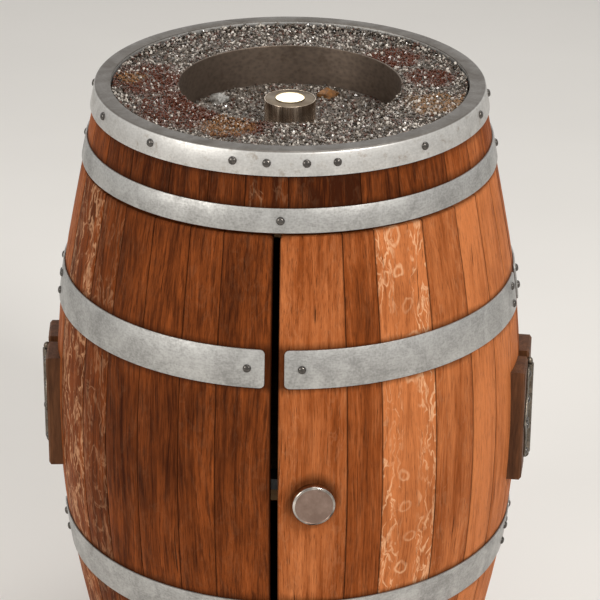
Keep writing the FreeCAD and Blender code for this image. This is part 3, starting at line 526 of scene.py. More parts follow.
@dataclass(frozen=True)
class PlainOak:
    """Sanded oak of the boards, rails, ledges and shelf inside, or a dark stained hardwood."""

    name: str
    dark: Colour
    light: Colour
    across: Triple = (70.0, 70.0, 5.0)
    roughness: float = 0.55
    fibre_fineness: float = 7.0

    def build(self) -> Material:
        """Mixes the wood from growth rings and fibres.

        Returns:
            The material.
        """
        f = Finish(self.name)
        place = f.position()
        x, y, z = self.across
        fine = self.fibre_fineness
        growth = f.grain(place, Grain(self.across, 4.0, 0.6, 0.6))
        fibres = f.grain(place, Grain((x * fine, y * fine, z * fine), 4.0, 0.6))
        level = f.plus(f.times(growth, 0.6), f.times(fibres, 0.4))
        colour = f.ramp(f.band(level, 0.34, 0.66), [(0.0, self.dark), (1.0, self.light)])
        rough = f.band(fibres, 0.3, 0.7, self.roughness + 0.1, self.roughness - 0.08)
        return f.dress(Base_Color=colour, Roughness=rough, Normal=f.relief(fibres, 0.0004, 0.5), IOR=1.2)


@dataclass(frozen=True)
class WornSteel:
    """Galvanised or tarnished metal: mottled tone, fine scratches and a little relief."""

    name: str
    dark: Colour
    light: Colour
    metal: float
    smooth: float
    matt: float
    patch_scale: float = 26.0
    scratch: float = 0.35
    stain: Colour | None = None
    frost: float = 0.45
    # Painted shade on the top: the height it starts at, its colour and how soft its edge is.
    shaded_above: float | None = None
    top_shade: Colour = (0.085, 0.073, 0.062)
    top_shade_fade: float = 0.0012
    scratches: Grain = Grain((90, 90, 900), 4.0, 0.6, 0.8)
    crossed: Grain = Grain((700, 700, 120), 3.0, 0.6, 1.2)

    def build(self) -> Material:
        """Mixes the metal from patches, frost and scratches, with painted shade over its top where one is
        set.

        Returns:
            The material.
        """
        f = Finish(self.name)
        place = f.position()
        patches = f.grain(place, Grain(even(self.patch_scale), 5.0, 0.62, 0.6))
        frosted = f.cells(f.stretched(place, (1, 1, 1.4)), self.patch_scale * 11)
        scratches, crossed = f.grain(place, self.scratches), f.grain(place, self.crossed)
        fine = f.plus(f.times(scratches, 0.5), f.times(crossed, 0.5))
        level = f.plus(f.times(patches, 1 - self.frost), f.times(frosted, self.frost))
        level = f.plus(level, f.times(f.minus(fine, 0.5), self.scratch))
        colour = f.mixed(f.band(level, 0.30, 0.66), self.dark, self.light)
        if self.stain is not None:
            spots = f.grain(place, Grain(even(self.patch_scale * 3), 6.0, 0.7))
            colour = f.mixed(f.band(spots, 0.56, 0.68, 0.0, 0.8), colour, self.stain)
        # Painted shade: above a height the steel is darkened, so the flat top reads darker than the side.
        if self.shaded_above is not None:
            top_shaded = f.band(f.parts(place)[2], self.shaded_above - self.top_shade_fade, self.shaded_above)
            colour = f.mixed(f.times(top_shaded, f.band(patches, 0.3, 0.6, 1.0, 0.85)), colour, self.top_shade)
        rough = f.band(level, 0.30, 0.66, self.matt, self.smooth)
        normal = f.relief(patches, 0.0005, 0.3, f.relief(fine, 0.0002, 0.5))
        return f.dress(Base_Color=colour, Metallic=self.metal, Roughness=rough, Normal=normal)


@dataclass(frozen=True)
class TurnedSteel:
    """Polished or brushed steel with fine turning lines and clouds of tarnish; on the polished knob the dark
    and pale clouds are painted reflections.
    """

    name: str
    colour: Colour
    shade: Colour
    roughness: float
    lines: Triple
    clouds: Triple = (60.0, 60.0, 60.0)

    def build(self) -> Material:
        """Mixes the metal from clouds and turning lines.

        Returns:
            The material.
        """
        f = Finish(self.name)
        place = f.position()
        fine, cloud = (f.grain(place, Grain(scale, 3.0, 0.6)) for scale in (self.lines, self.clouds))
        colour = f.mixed(f.band(cloud, 0.35, 0.7), self.shade, self.colour)
        rough = f.band(fine, 0.3, 0.7, self.roughness * 1.5, self.roughness * 0.8)
        return f.dress(Base_Color=colour, Metallic=1.0, Roughness=rough, Normal=f.relief(fine, 0.0001, 0.4))


@dataclass(frozen=True)
class CrushedGlass:
    """Crushed clear and grey glass with patches of brown and amber, told apart chip by chip."""

    name: str = "crushed_glass_chips"
    chip_attribute: str = "chip_tone"
    clear: Colour = (0.62, 0.57, 0.51)
    grey: Colour = (0.116, 0.092, 0.071)
    grey_place: float = 0.62
    smoke: Colour = (0.028, 0.021, 0.015)
    brown: Colour = (0.086, 0.026, 0.013)
    amber: Colour = (0.235, 0.118, 0.042)
    ragged: Grain = Grain((38.0, 38.0, 38.0), 4.0, 0.7)
    brown_places: tuple[Triple, ...] = (
        (-0.197, 0.002, 0.058), (-0.140, -0.112, 0.070), (-0.066, -0.162, 0.048), (0.140, 0.118, 0.042),
        (0.194, 0.040, 0.036),
    )
    amber_places: tuple[Triple, ...] = (
        (-0.074, -0.166, 0.036), (-0.220, 0.010, 0.022), (0.205, -0.060, 0.044),
    )

    def patch(self, f: Finish, places: Iterable[Triple], ragged: NodeSocket) -> NodeSocket:
        """Returns how far the surface lies inside any of the round patches.

        Args:
            f: Material in the making.
            places: Centre and radius of each patch, from the cask's axis.
            ragged: Noise that breaks up the edge.

        Returns:
            A share between 0 and 1.
        """
        total: object = 0.0
        for x, y, radius in places:
            away = f.length(f.stretched(f.position(), (1, 1, 0), (-x, -y - CASK_AXIS_Y, 0)))
            edge = f.plus(away, f.times(f.minus(ragged, 0.5), radius * 1.6))
            total = f.larger(total, f.band(edge, radius * 0.75, radius * 1.1, 1.0, 0.0))
        return total

    def build(self) -> Material:
        """Mixes the glass from the chips' own tones and the patches.

        Returns:
            The material.
        """
        f = Finish(self.name)
        chip = f.node("Attribute", {"attribute_name": self.chip_attribute}).outputs["Fac"]
        ragged = f.grain(f.position(), self.ragged)
        colour = f.ramp(chip, [(0.0, self.smoke), (self.grey_place, self.grey), (1.0, self.clear)])
        odd = f.band(f.math("FRACT", f.times(chip, 7.3)), 0.80, 0.86, 0.0, 0.7)
        stain = f.times(self.patch(f, self.brown_places, ragged), f.band(chip, 0.86, 0.96, 1.0, 0.1))
        warm = f.times(self.patch(f, self.amber_places, ragged), f.band(chip, 0.55, 0.85, 0.7, 0.1))
        for share, tint in ((odd, self.brown), (stain, self.brown), (warm, self.amber)):
            colour = f.mixed(share, colour, tint)
        shine = f.band(stain, 0.0, 1.0, 0.5, 0.2)
        return f.dress(
            Base_Color=colour, Roughness=0.2, Specular_IOR_Level=shine, Coat_Weight=0.12, Coat_Roughness=0.06,
        )


@dataclass(frozen=True)
class PlainSurface:
    """A quiet surface with slight clouding: plastic, bedding, a lump of glass or fuel."""

    name: str
    dark: Colour
    light: Colour
    roughness: float
    scale: float = 90.0
    painted_glow: float = 0.0
    painted_glow_colour: Colour = (1.0, 0.86, 0.55)

    def build(self) -> Material:
        """Mixes the surface from clouds, and gives it a painted glow where one is set.

        Returns:
            The material.
        """
        f = Finish(self.name)
        cloud = f.grain(f.position(), Grain(even(self.scale), 4.0, 0.6))
        colour = f.mixed(f.band(cloud, 0.35, 0.65), self.dark, self.light)
        rough = f.band(cloud, 0.3, 0.7, self.roughness + 0.08, self.roughness - 0.08)
        # Painted glow: the surface emits light of its own, though it is no lamp.
        if self.painted_glow:
            f.dress(Emission_Color=(*self.painted_glow_colour, 1.0), Emission_Strength=self.painted_glow)
        return f.dress(Base_Color=colour, Roughness=rough, Normal=f.relief(cloud, 0.0004, 0.4))


# ---------------------------------------------------------------- shaping


class Shaping:
    """Edit mode on one object, with everything on it selected."""

    def __init__(self, piece: Object, mode: str = "VERT") -> None:
        """Takes the object and the kind of element to select: VERT, EDGE or FACE."""
        self.piece = piece
        self.mode = mode

    def __enter__(self) -> "Shaping":
        """Opens edit mode.

        Returns:
            This object.
        """
        only(self.piece)
        bpy.ops.object.mode_set(mode="EDIT")
        bpy.ops.mesh.select_mode(type=self.mode)
        select_all()
        return self

    def __exit__(self, *details: object) -> None:
        """Goes back to object mode."""
        bpy.ops.object.mode_set(mode="OBJECT")

    def vertices(self, wanted: Callable[[Vector], bool]) -> bool:
        """Selects vertices.

        Args:
            wanted: Test of a vertex's place.

        Returns:
            Whether there are any.
        """
        mesh = bmesh.from_edit_mesh(self.piece.data)
        for vertex in mesh.verts:
            vertex.select = wanted(vertex.co)
        mesh.select_flush_mode()
        bmesh.update_edit_mesh(self.piece.data)
        return any(vertex.select for vertex in mesh.verts)

    def edges(self, wanted: Callable[[Vector, Vector], bool]) -> bool:
        """Selects edges.

        Args:
            wanted: Test of the places of an edge's two ends.

        Returns:
            Whether there are any.
        """
        bpy.ops.mesh.select_all(action="DESELECT")
        mesh = bmesh.from_edit_mesh(self.piece.data)
        chosen = [edge for edge in mesh.edges if wanted(edge.verts[0].co, edge.verts[1].co)]
        for edge in chosen:
            edge.select_set(True)
        bmesh.update_edit_mesh(self.piece.data)
        return bool(chosen)


def select_all() -> None:
    """Selects everything on the object in edit mode."""
    bpy.ops.mesh.select_all(action="SELECT")


def bevelled(width: float, segments: int, **options: object) -> None:
    """Bevels the selected edges."""
    bpy.ops.mesh.bevel(offset=width, segments=segments, affect="EDGES", **options)


def only(piece: Object) -> None:
    """Makes one object the selected and active one.

    Args:
        piece: The object.
    """
    bpy.ops.object.select_all(action="DESELECT")
    piece.select_set(True)
    bpy.context.view_layer.objects.active = piece


def named(piece: Object, name: str) -> Object:
    """Gives an object and its mesh a name.

    Args:
        piece: The object.
        name: Its name.

    Returns:
        The same object.
    """
    piece.name = name
    piece.data.name = name
    return piece


def started(shape: str, **options: object) -> Object:
    """Adds a primitive to shape further.

    Args:
        shape: plane, circle or cube.
        **options: Options of the operator.

    Returns:
        The new object.
    """
    bpy.ops.object.select_all(action="DESELECT")
    getattr(bpy.ops.mesh, f"primitive_{shape}_add")(**options)
    return bpy.context.object


def outline(points: Sequence[Point]) -> Object:
    """Draws a closed profile in the plane y = 0 by extruding one vertex from point to point.

    Args:
        points: Radius and height of each corner.

    Returns:
        A mesh of the profile's edges.
    """
    piece = started("plane", size=0.001, location=(0, 0, 0))
    with Shaping(piece):
        bpy.ops.mesh.merge(type="CENTER")
        bpy.ops.transform.translate(value=(points[0][0], 0, points[0][1]))
        for near, far in zip(points, list(points[1:]) + [points[0]]):
            step = (far[0] - near[0], 0, far[1] - near[1])
            bpy.ops.mesh.extrude_region_move(TRANSFORM_OT_translate={"value": step})
        select_all()
        bpy.ops.mesh.remove_doubles(threshold=1e-6)
    return piece


def spun(piece: Object, angle: float, steps: int) -> Object:
    """Spins a profile round the Z axis and closes it.

    Args:
        piece: Edges of a closed profile in the plane y = 0.
        angle: How far to spin, in degrees.
        steps: Number of divisions.

    Returns:
        The same object as a closed skin, its middle at azimuth 0 when it isn't a full turn.
    """
    with Shaping(piece):
        bpy.ops.mesh.spin(steps=steps, angle=math.radians(angle), center=(0, 0, 0), axis=(0, 0, 1))
        select_all()
        bpy.ops.mesh.remove_doubles(threshold=2e-6)
        if angle < 360:
            bpy.ops.mesh.select_all(action="DESELECT")
            bpy.ops.mesh.select_non_manifold()
            bpy.ops.mesh.fill_holes(sides=0)
        select_all()
        bpy.ops.mesh.normals_make_consistent(inside=False)
    if angle < 360:
        middle = sum((vertex.co for vertex in piece.data.vertices), Vector()) / len(piece.data.vertices)
        turn = -math.pi / 2 - math.atan2(middle.y, middle.x)
        baked(piece, Matrix.Rotation(turn, 4, "Z"))
    return piece


def turned(points: Sequence[Point], steps: int) -> Object:
    """Spins a profile of radius and height through a full turn."""
    return spun(outline(points), 360.0, steps)


def sliced(point: Vector, slope: Vector) -> None:
    """Cuts off what lies beyond a plane through a point and closes the cut."""
    select_all()
    bpy.ops.mesh.bisect(plane_co=point, plane_no=slope, use_fill=True, clear_outer=True)


def about_z(azimuth: float) -> Matrix:
    """Returns the turn from the front to an azimuth."""
    return Matrix.Rotation(math.radians(azimuth), 4, "Z")


def turn_of(point: Vector) -> float:
    """Returns how far a point is turned from the front, in radians."""
    return math.atan2(point.x, -point.y)


def baked(piece: Object, matrix: Matrix | None = None) -> Object:
    """Moves an object by a matrix and applies its place, turn and scale to its mesh.

    Args:
        piece: The object.
        matrix: How it is moved, if at all.

    Returns:
        The same object.
    """
    only(piece)
    if matrix is not None:
        piece.matrix_world = matrix @ piece.matrix_world
    bpy.ops.object.transform_apply(location=True, rotation=True, scale=True)
    return piece


def twin(piece: Object, matrix: Matrix | None = None) -> Object:
    """Copies an object with its own mesh and moves the copy.

    Args:
        piece: The pattern.
        matrix: How the copy is moved, if at all.

    Returns:
        The copy.
    """
    made = piece.copy()
    made.data = piece.data.copy()
    bpy.context.scene.collection.objects.link(made)
    return baked(made, matrix)


def joined(pieces: Sequence[Object], name: str) -> Object:
    """Joins objects into one mesh.

    Args:
        pieces: The objects.
        name: Name of the result.

    Returns:
        The first of them, with the rest in it.
    """
    only(pieces[0])
    for piece in pieces:
        piece.select_set(True)
    if len(pieces) > 1:
        bpy.ops.object.join()
    return named(pieces[0], name)


def removed(piece: Object) -> None:
    """Deletes a pattern piece once its copies are made."""
    bpy.data.objects.remove(piece)


def softened(piece: Object, width: float, sharpness: float = 50.0, segments: int = 2) -> Object:
    """Rounds the sharp edges of a piece.

    Args:
        piece: The piece.
        width: Width of the rounding.
        sharpness: Least angle of an edge that is rounded, in degrees.
        segments: Number of divisions of the rounding.

    Returns:
        The same piece.
    """
    with Shaping(piece, "EDGE"):
        bpy.ops.mesh.select_all(action="DESELECT")
        bpy.ops.mesh.edges_select_sharp(sharpness=math.radians(sharpness))
        bevelled(width, segments, clamp_overlap=True)
    return piece


def rounded_ring(piece: Object, z: float, radius: float, width: float, segments: int) -> None:
    """Rounds the ring-shaped edge of a turned piece at one height, at a radius.

    Args:
        piece: The piece.
        z: Height of the edge.
        radius: Radius of the edge.
        width: Width of the rounding.
        segments: Number of divisions of the rounding.
    """
    with Shaping(piece, "EDGE") as shaping:
        shaping.edges(
            lambda near, far: abs(near.z + far.z - 2 * z) < TINY
            and min(near.xy.length, far.xy.length) > radius - 10 * TINY
        )
        bevelled(width, segments)


def smooth(piece: Object, angle: float = 38.0) -> Object:
    """Shades a piece smooth up to an angle.

    Args:
        piece: The piece.
        angle: The angle, in degrees.

    Returns:
        The same piece.
    """
    only(piece)
    bpy.ops.object.shade_smooth_by_angle(angle=math.radians(angle))
    return piece


def placed(piece: Object, body: Body, finish: Material, replaces: Sequence[str] = ()) -> Object:
    """Moves a finished piece onto the cask's real axis, dresses it and hands it to a body.

    Args:
        piece: Piece shaped round the origin's Z axis.
        body: Body that it rides on.
        finish: Its material.
        replaces: Nodes that it stands for.

    Returns:
        The same piece.
    """
    baked(piece, Matrix.Translation((0, CASK_AXIS_Y, 0)))
    piece.data.materials.clear()
    piece.data.materials.append(finish)
    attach(piece, body.value)
    if replaces:
        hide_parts(*replaces)
    log.info("%s: %d faces on %s", piece.name, len(piece.data.polygons), body.value)
    return piece


# ---------------------------------------------------------------- the cask's form


@dataclass(frozen=True)
class CaskSide:
    """Outside line of the staves: straight at both ends and bent between them."""

    height: float = 0.950
    bilge_radius: float = 0.331
    head_radius: float = 0.264
    straight_end: float = 0.200
    stave_thickness: float = 0.026
    chime_land: float = 0.014
    chime_length: float = 0.030
    cap_thickness: float = 0.003

    def bend(self) -> Point:
        """Works out the bend, step by step, because its turn also sets how far the straight ends lean.

        Returns:
            The slope of the straight ends and the radius of the bend.
        """
        half = self.height / 2 - self.straight_end
        rise = self.bilge_radius - self.head_radius
        half_turn = 0.0
        for _ in range(20):
            half_turn = rise / (half + 2 * self.straight_end / (1 - half_turn**2))
        turn = 2 * math.atan(half_turn)
        return math.tan(turn), half / math.sin(turn)

    def radius(self, z: float) -> float:
        """Works out the outside radius at a height.

        Args:
            z: The height.

        Returns:
            The radius.
        """
        slope, bend_radius = self.bend()
        away = abs(z - self.height / 2)
        if away <= self.height / 2 - self.straight_end:
            return self.bilge_radius - bend_radius + math.sqrt(bend_radius**2 - away**2)
        return self.head_radius + slope * (self.height / 2 - away)

    def lean(self, z: float) -> float:
        """Returns how far the side leans outwards going up, as an angle."""
        step = 0.0005
        return math.atan((self.radius(z + step) - self.radius(z - step)) / (2 * step))

    def stand(self, azimuth: float, z: float, out: float, inwards: bool = False, up: float = 0.0) -> Matrix:
        """Works out how a piece built along +Z stands square on the side.

        Args:
            azimuth: Degrees from the front.
            z: Height on the side.
            out: Distance outside the staves.
            inwards: Whether the piece points to the axis.
            up: Shift up along the side.

        Returns:
            A matrix for twin().
        """
        lean = self.lean(z)
        normal = Vector((0, -math.cos(lean), -math.sin(lean)))
        base = Vector((0, -self.radius(z), z)) + normal * out + Vector((0, normal.z, -normal.y)) * up
        facing = (normal * -1 if inwards else normal).to_track_quat("Z", "Y").to_matrix().to_4x4()
        return about_z(azimuth) @ Matrix.Translation(base) @ facing


SIDE = CaskSide()
CASK_AXIS_Y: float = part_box("rear_staves")[1].y - SIDE.bilge_radius


@dataclass
class StaveRun:
    """A stretch of staves side by side, each with its own width, tone and flecks."""

    name: str
    node: str
    body: Body
    start: float
    end: float
    low: float
    high: float
    widths: tuple[int, ...]
    tones: tuple[float, ...]
    flecks: dict[int, float]
    seed: int
    gap_side: int = 0
    plain_fleck: float = 0.03
    seam: float = 0.00003
    edge_round: float = 0.0012
    corner_round: float = 0.007
    corner_steps: int = 5
    row_height: float = 0.045
    arc_step: float = 2.2

    def rows(self) -> list[float]:
        """Returns the heights of the rows of points, from the lower end up."""
        count = max(2, round((self.high - self.low) / self.row_height))
        return [self.low + (self.high - self.low) * number / count for number in range(count + 1)]

    def profile(self) -> list[Point]:
        """Works out the section of one stave, thinned where it ends at the chime.

        Returns:
            Its corners: outside up, inside down.
        """
        rows = self.rows()
        outer = [(SIDE.radius(z), z) for z in rows]
        chime = SIDE.chime_length
        last = SIDE.height - SIDE.cap_thickness - chime
        inner = [(z, SIDE.stave_thickness) for z in rows if chime < z < last]
        if self.low == 0:
            inner = [(0.0, SIDE.chime_land), (chime, SIDE.stave_thickness)] + inner
        if self.high > SIDE.height - chime:
            inner += [(self.high - chime, SIDE.stave_thickness), (self.high, SIDE.chime_land)]
        return outer + [(SIDE.radius(z) - depth, z) for z, depth in reversed(inner)]

    def faces_gap(self, near: Vector, far: Vector, limit: float) -> bool:
        """Tells whether an edge crosses the end of a stave at its corner towards the door gap.

        Args:
            near: One end of the edge.
            far: Its other end.
            limit: Least turn towards the gap, in radians.

        Returns:
            True for the edges whose corners are rounded.
        """
        at_end = min(abs(near.z - self.low), abs(near.z - self.high)) < 10 * TINY
        level = abs(near.z - far.z) < TINY and at_end
        crossing = abs(near.xy.length - far.xy.length) > SIDE.stave_thickness * 0.9
        turns = [-self.gap_side * turn_of(point) for point in (near, far)]
        return level and crossing and min(turns) > limit

    def stave(self, pattern: Object, turn: float, at_gap: bool) -> Object:
        """Spins one stave out of the pattern profile.

        Args:
            pattern: The profile.
            turn: Width of the stave, in degrees.
            at_gap: Whether its outer corners are rounded towards the door gap.

        Returns:
            The stave, with its middle at the front.
        """
        made = spun(twin(pattern), turn, max(3, round(turn / self.arc_step)))
        if at_gap:
            limit = math.radians(turn / 2) * 0.9
            with Shaping(made, "EDGE") as shaping:
                if shaping.edges(lambda near, far: self.faces_gap(near, far, limit)):
                    bevelled(self.corner_round, self.corner_steps)
        return softened(made, self.edge_round)

    def build(self, finish: Material) -> Object:
        """Builds the stretch.

        Args:
            finish: The oak.

        Returns:
            One object with all its staves.
        """
        pattern = outline(self.profile())
        draw = random.Random(self.seed)
        share = (self.end - self.start) / sum(self.widths)
        seam = math.degrees(self.seam / SIDE.bilge_radius)
        gap_number = 0 if self.gap_side > 0 else len(self.widths) - 1
        at = self.start
        pieces = []
        for number, (width, tone) in enumerate(zip(self.widths, self.tones, strict=True)):
            turn = width * share
            made = self.stave(pattern, turn - seam, self.gap_side != 0 and number == gap_number)
            colours = made.data.color_attributes.new("stave_tone", "FLOAT_COLOR", "POINT")
            marks = (draw.random(), tone, self.flecks.get(number, self.plain_fleck))
            for vertex, mark in zip(made.data.vertices, colours.data):
                mark.color = (*marks, 0.5 + math.degrees(turn_of(vertex.co)) / turn)
            pieces.append(baked(made, about_z(at + turn / 2)))
            at += turn
        removed(pattern)
        return placed(smooth(joined(pieces, self.name)), self.body, finish, [self.node])


@dataclass
class Hoop:
    """A steel strip round the cask, or a length of one with rounded corners."""

    name: str
    node: str
    body: Body
    middle: float
    width: float
    start: float = 0.0
    end: float = 360.0
    thickness: float = 0.0024
    clearance: float = 0.0001
    corner: float = 0.0065
    corner_steps: int = 5
    edge_round: float = 0.0006
    arc_step: float = 2.5

    def is_corner(self, near: Vector, far: Vector, limit: float) -> bool:
        """Tells whether an edge crosses the steel's thickness at an end of the length.

        Args:
            near: One end of the edge.
            far: Its other end.
            limit: Least turn from the middle of the length, in radians.

        Returns:
            True for the edges whose corners are rounded.
        """
        turns = [abs(turn_of(point)) for point in (near, far)]
        return min(turns) > limit and (near - far).length < 2 * self.thickness

    def build(self, finish: Material) -> Object:
        """Builds the hoop.

        Args:
            finish: The hoop steel.

        Returns:
            The hoop.
        """
        lean = SIDE.lean(self.middle)
        up = Vector((math.sin(lean), math.cos(lean))) * (self.width / 2)
        out = Vector((math.cos(lean), -math.sin(lean)))
        seat = Vector((SIDE.radius(self.middle), self.middle)) + out * self.clearance
        skin = out * self.thickness
        corners = [tuple(seat - up), tuple(seat - up + skin), tuple(seat + up + skin), tuple(seat + up)]
        turn = self.end - self.start
        made = spun(outline(corners), turn, max(4, round(turn / self.arc_step)))
        if turn < 360:
            limit = math.radians(turn / 2) - 10 * TINY
            with Shaping(made, "EDGE") as shaping:
                shaping.edges(lambda near, far: self.is_corner(near, far, limit))
                bevelled(self.corner, self.corner_steps)
            baked(made, about_z((self.start + self.end) / 2))
        named(softened(made, self.edge_round), self.name)
        return placed(smooth(made), self.body, finish, [self.node])


@dataclass
class RimCap:
    """Steel band over the upper stave ends, with a rounded shoulder and an inner lip down to the gravel."""

    height: float = 0.032
    skin: float = 0.004
    inner_radius: float = 0.246
    lip: float = 0.0018
    lip_depth: float = 0.012
    shoulder: float = 0.0032
    edge_round: float = 0.0005
    sides: int = 144

    def build(self, finish: Material) -> Object:
        """Builds the cap.

        Args:
            finish: The hoop steel.

        Returns:
            The cap.
        """
        top, low, seat = SIDE.height, SIDE.height - self.height, SIDE.height - SIDE.cap_thickness
        inner, lip, rim = self.inner_radius, self.inner_radius + self.lip, SIDE.radius(top) + self.skin
        made = turned([
            (inner, top), (inner, top - self.lip_depth), (lip, top - self.lip_depth), (lip, seat),
            (SIDE.radius(seat), seat), (SIDE.radius(low), low),
            (SIDE.radius(low) + self.skin, low), (rim, top),
        ], self.sides)
        rounded_ring(made, top, rim, self.shoulder, 4)
        named(softened(made, self.edge_round), "rim_band")
        return placed(smooth(made), Body.CARCASS, finish, ["rim_cap"])


def stud(radius: float, height: float, sides: int = 20) -> Object:
    """Shapes a round-head rivet, nail or screw that stands on the origin.

    Args:
        radius: Radius of its head.
        height: Height of its head.
        sides: Number of its sides.

    Returns:
        The stud.
    """
    sunk = -0.0004
    dome = ((1.0, 0.18), (0.93, 0.48), (0.72, 0.80), (0.38, 0.97), (0.0, 1.0))
    points = [(0.0, sunk), (radius, sunk)] + [(radius * across, height * rise) for across, rise in dome]
    return smooth(turned(points, sides), 60)


@dataclass
class RivetRow:
    """Rivets of one node, each as (azimuth, height, shift up along the side)."""

    name: str
    node: str
    body: Body
    places: Sequence[Triple]
    seat: float = 0.0024
    radius: float = 0.0056
    height: float = 0.0039

    def build(self, finish: Material) -> Object:
        """Builds the rivets.

        Args:
            finish: The rivet iron.

        Returns:
            One object with all the rivets.
        """
        pattern = stud(self.radius, self.height)
        pieces = [twin(pattern, SIDE.stand(azimuth, z, self.seat, up=up)) for azimuth, z, up in self.places]
        removed(pattern)
        return placed(joined(pieces, self.name), self.body, finish, [self.node])


# ---------------------------------------------------------------- fire top


@dataclass
class GravelBed:
    """Broken glass strewn over a bed between rings of (radius, height)."""

    name: str
    rings: tuple[Point, ...]
    spacing: float
    lift: float
    seed: int
    span: Point | None = None
    sides: int = 72
    crowding: float = 1.6
    shard_size: float = 0.0043
    shard_kinds: int = 6
    shard_cuts: int = 4
    cut_slope: Point = (0.35, 1.0)
    cut_depth: Point = (0.24, 0.44)
    size_range: Point = (0.45, 1.0)

    def surface(self) -> Object:
        """Shapes the bed that the pieces are strewn on.

        Returns:
            The bed.
        """
        radius, height = self.rings[0]
        bed = started("circle", vertices=self.sides, radius=radius, location=(0, 0, height))
        with Shaping(bed, "EDGE"):
            for (near, low), (far, high) in zip(self.rings, self.rings[1:]):
                bpy.ops.mesh.extrude_edges_move()
                bpy.ops.transform.resize(value=(far / near, far / near, 1))
                bpy.ops.transform.translate(value=(0, 0, high - low))
        if self.span is not None:
            first, last = self.span
            with Shaping(bed) as shaping:
                if shaping.vertices(lambda place: not first <= math.degrees(turn_of(place)) <= last):
                    bpy.ops.mesh.delete(type="VERT")
        return baked(bed)

    def shards(self) -> Collection:
        """Shapes a few splinters by slicing small blocks.

        Returns:
            The splinters.
        """
        draw = random.Random(self.seed)
        kinds = bpy.data.collections.new(self.name + "_shards")
        for _ in range(self.shard_kinds):
            shard = started("cube", size=self.shard_size, location=(0, 0, 0))
            with Shaping(shard):
                for _cut in range(self.shard_cuts):
                    parts = [draw.choice((-1, 1)) * draw.uniform(*self.cut_slope) for _axis in range(3)]
                    slope = Vector(parts).normalized()
                    sliced(slope * self.shard_size * draw.uniform(*self.cut_depth), slope)
                select_all()
                spread = (draw.uniform(0.8, 1.2), draw.uniform(0.6, 1), draw.uniform(0.6, 1))
                bpy.ops.transform.resize(value=spread)
            kinds.objects.link(baked(shard))
        return kinds

    def chance(self, tree: GeometryNodeTree, kind: str, low: object, high: object) -> NodeSocket:
        """Adds a seeded random value.

        Args:
            tree: Nodes that it joins.
            kind: FLOAT or FLOAT_VECTOR.
            low: Lower end.
            high: Upper end.

        Returns:
            The value.
        """
        made = tree.nodes.new("FunctionNodeRandomValue")
        made.data_type = kind
        first, output = (0, 0) if kind == "FLOAT_VECTOR" else (2, 1)
        made.inputs[first].default_value, made.inputs[first + 1].default_value = low, high
        made.inputs["Seed"].default_value = self.seed + len(tree.nodes)
        return made.outputs[output]

    def strewing(self, kinds: Collection) -> GeometryNodeTree:
        """Lays out the nodes that strew turned copies of the shards, each with its own tone.

        Args:
            kinds: The shards.

        Returns:
            The nodes.
        """
        tree = bpy.data.node_groups.new(self.name + "_strewing", "GeometryNodeTree")
        for end in ("INPUT", "OUTPUT"):
            tree.interface.new_socket("Geometry", in_out=end, socket_type="NodeSocketGeometry")
        start, finish, points, lifted, source, placing, toned, merged = (
            tree.nodes.new(kind) for kind in (
                "NodeGroupInput", "NodeGroupOutput", "GeometryNodeDistributePointsOnFaces",
                "GeometryNodeSetPosition", "GeometryNodeCollectionInfo", "GeometryNodeInstanceOnPoints",
                "GeometryNodeStoreNamedAttribute", "GeometryNodeRealizeInstances",
            )
        )
        points.distribute_method = "POISSON"
        toned.data_type, toned.domain = "FLOAT", "INSTANCE"
        for node, socket, value in (
            (points, "Distance Min", self.spacing), (points, "Density Max", self.crowding / self.spacing**2),
            (points, "Seed", self.seed), (source, "Collection", kinds), (source, "Separate Children", True),
            (placing, "Pick Instance", True), (toned, "Name", "chip_tone"),
        ):
            node.inputs[socket].default_value = value
        lift = self.chance(tree, "FLOAT_VECTOR", (0, 0, -self.lift), (0, 0, self.lift))
        turn = self.chance(tree, "FLOAT_VECTOR", (0, 0, 0), even(2 * math.pi))
        size = self.chance(tree, "FLOAT", *self.size_range)
        tone = self.chance(tree, "FLOAT", 0.0, 1.0)
        for output, target in (
            (start.outputs[0], points.inputs["Mesh"]), (points.outputs["Points"], lifted.inputs["Geometry"]),
            (lift, lifted.inputs["Offset"]), (lifted.outputs[0], placing.inputs["Points"]),
            (source.outputs[0], placing.inputs["Instance"]), (turn, placing.inputs["Rotation"]),
            (size, placing.inputs["Scale"]), (placing.outputs[0], toned.inputs["Geometry"]),
            (tone, toned.inputs["Value"]), (toned.outputs[0], merged.inputs[0]),
            (merged.outputs[0], finish.inputs[0]),
        ):
            tree.links.new(output, target)
        return tree

    def build(self, glass: Material) -> Object:
        """Strews the bed.

        Args:
            glass: The crushed glass.

        Returns:
            One object with all the chips.
        """
        made, kinds = self.surface(), self.shards()
        strewn = made.modifiers.new("strewing", "NODES")
        strewn.node_group = self.strewing(kinds)
        only(made)
        bpy.ops.object.modifier_apply(modifier=strewn.name)
        for shard in list(kinds.objects):
            removed(shard)
        bpy.data.collections.remove(kinds)
        return placed(named(made, self.name), Body.CARCASS, glass)


@dataclass
class GlassLump:
    """A larger lump of glass that lies on the bed in the bowl."""

    name: str
    place: Triple
    size: Triple
    seed: int
    cuts: int = 16
    cut_depth: Point = (0.34, 0.46)
    edge_round: float = 0.0006

    def build(self, glass: Material) -> Object:
        """Cuts the lump out of a block.

        Args:
            glass: Its material.

        Returns:
            The lump.
        """
        draw = random.Random(self.seed)
        lump = named(started("cube", size=1, location=(0, 0, 0)), self.name)
        with Shaping(lump):
            for _cut in range(self.cuts):
                slope = Vector([draw.uniform(-1, 1) for _axis in range(3)]).normalized()
                sliced(slope * draw.uniform(*self.cut_depth), slope)
        lump.scale = self.size
        lump.location = self.place
        return placed(softened(baked(lump), self.edge_round, 20), Body.CARCASS, glass)


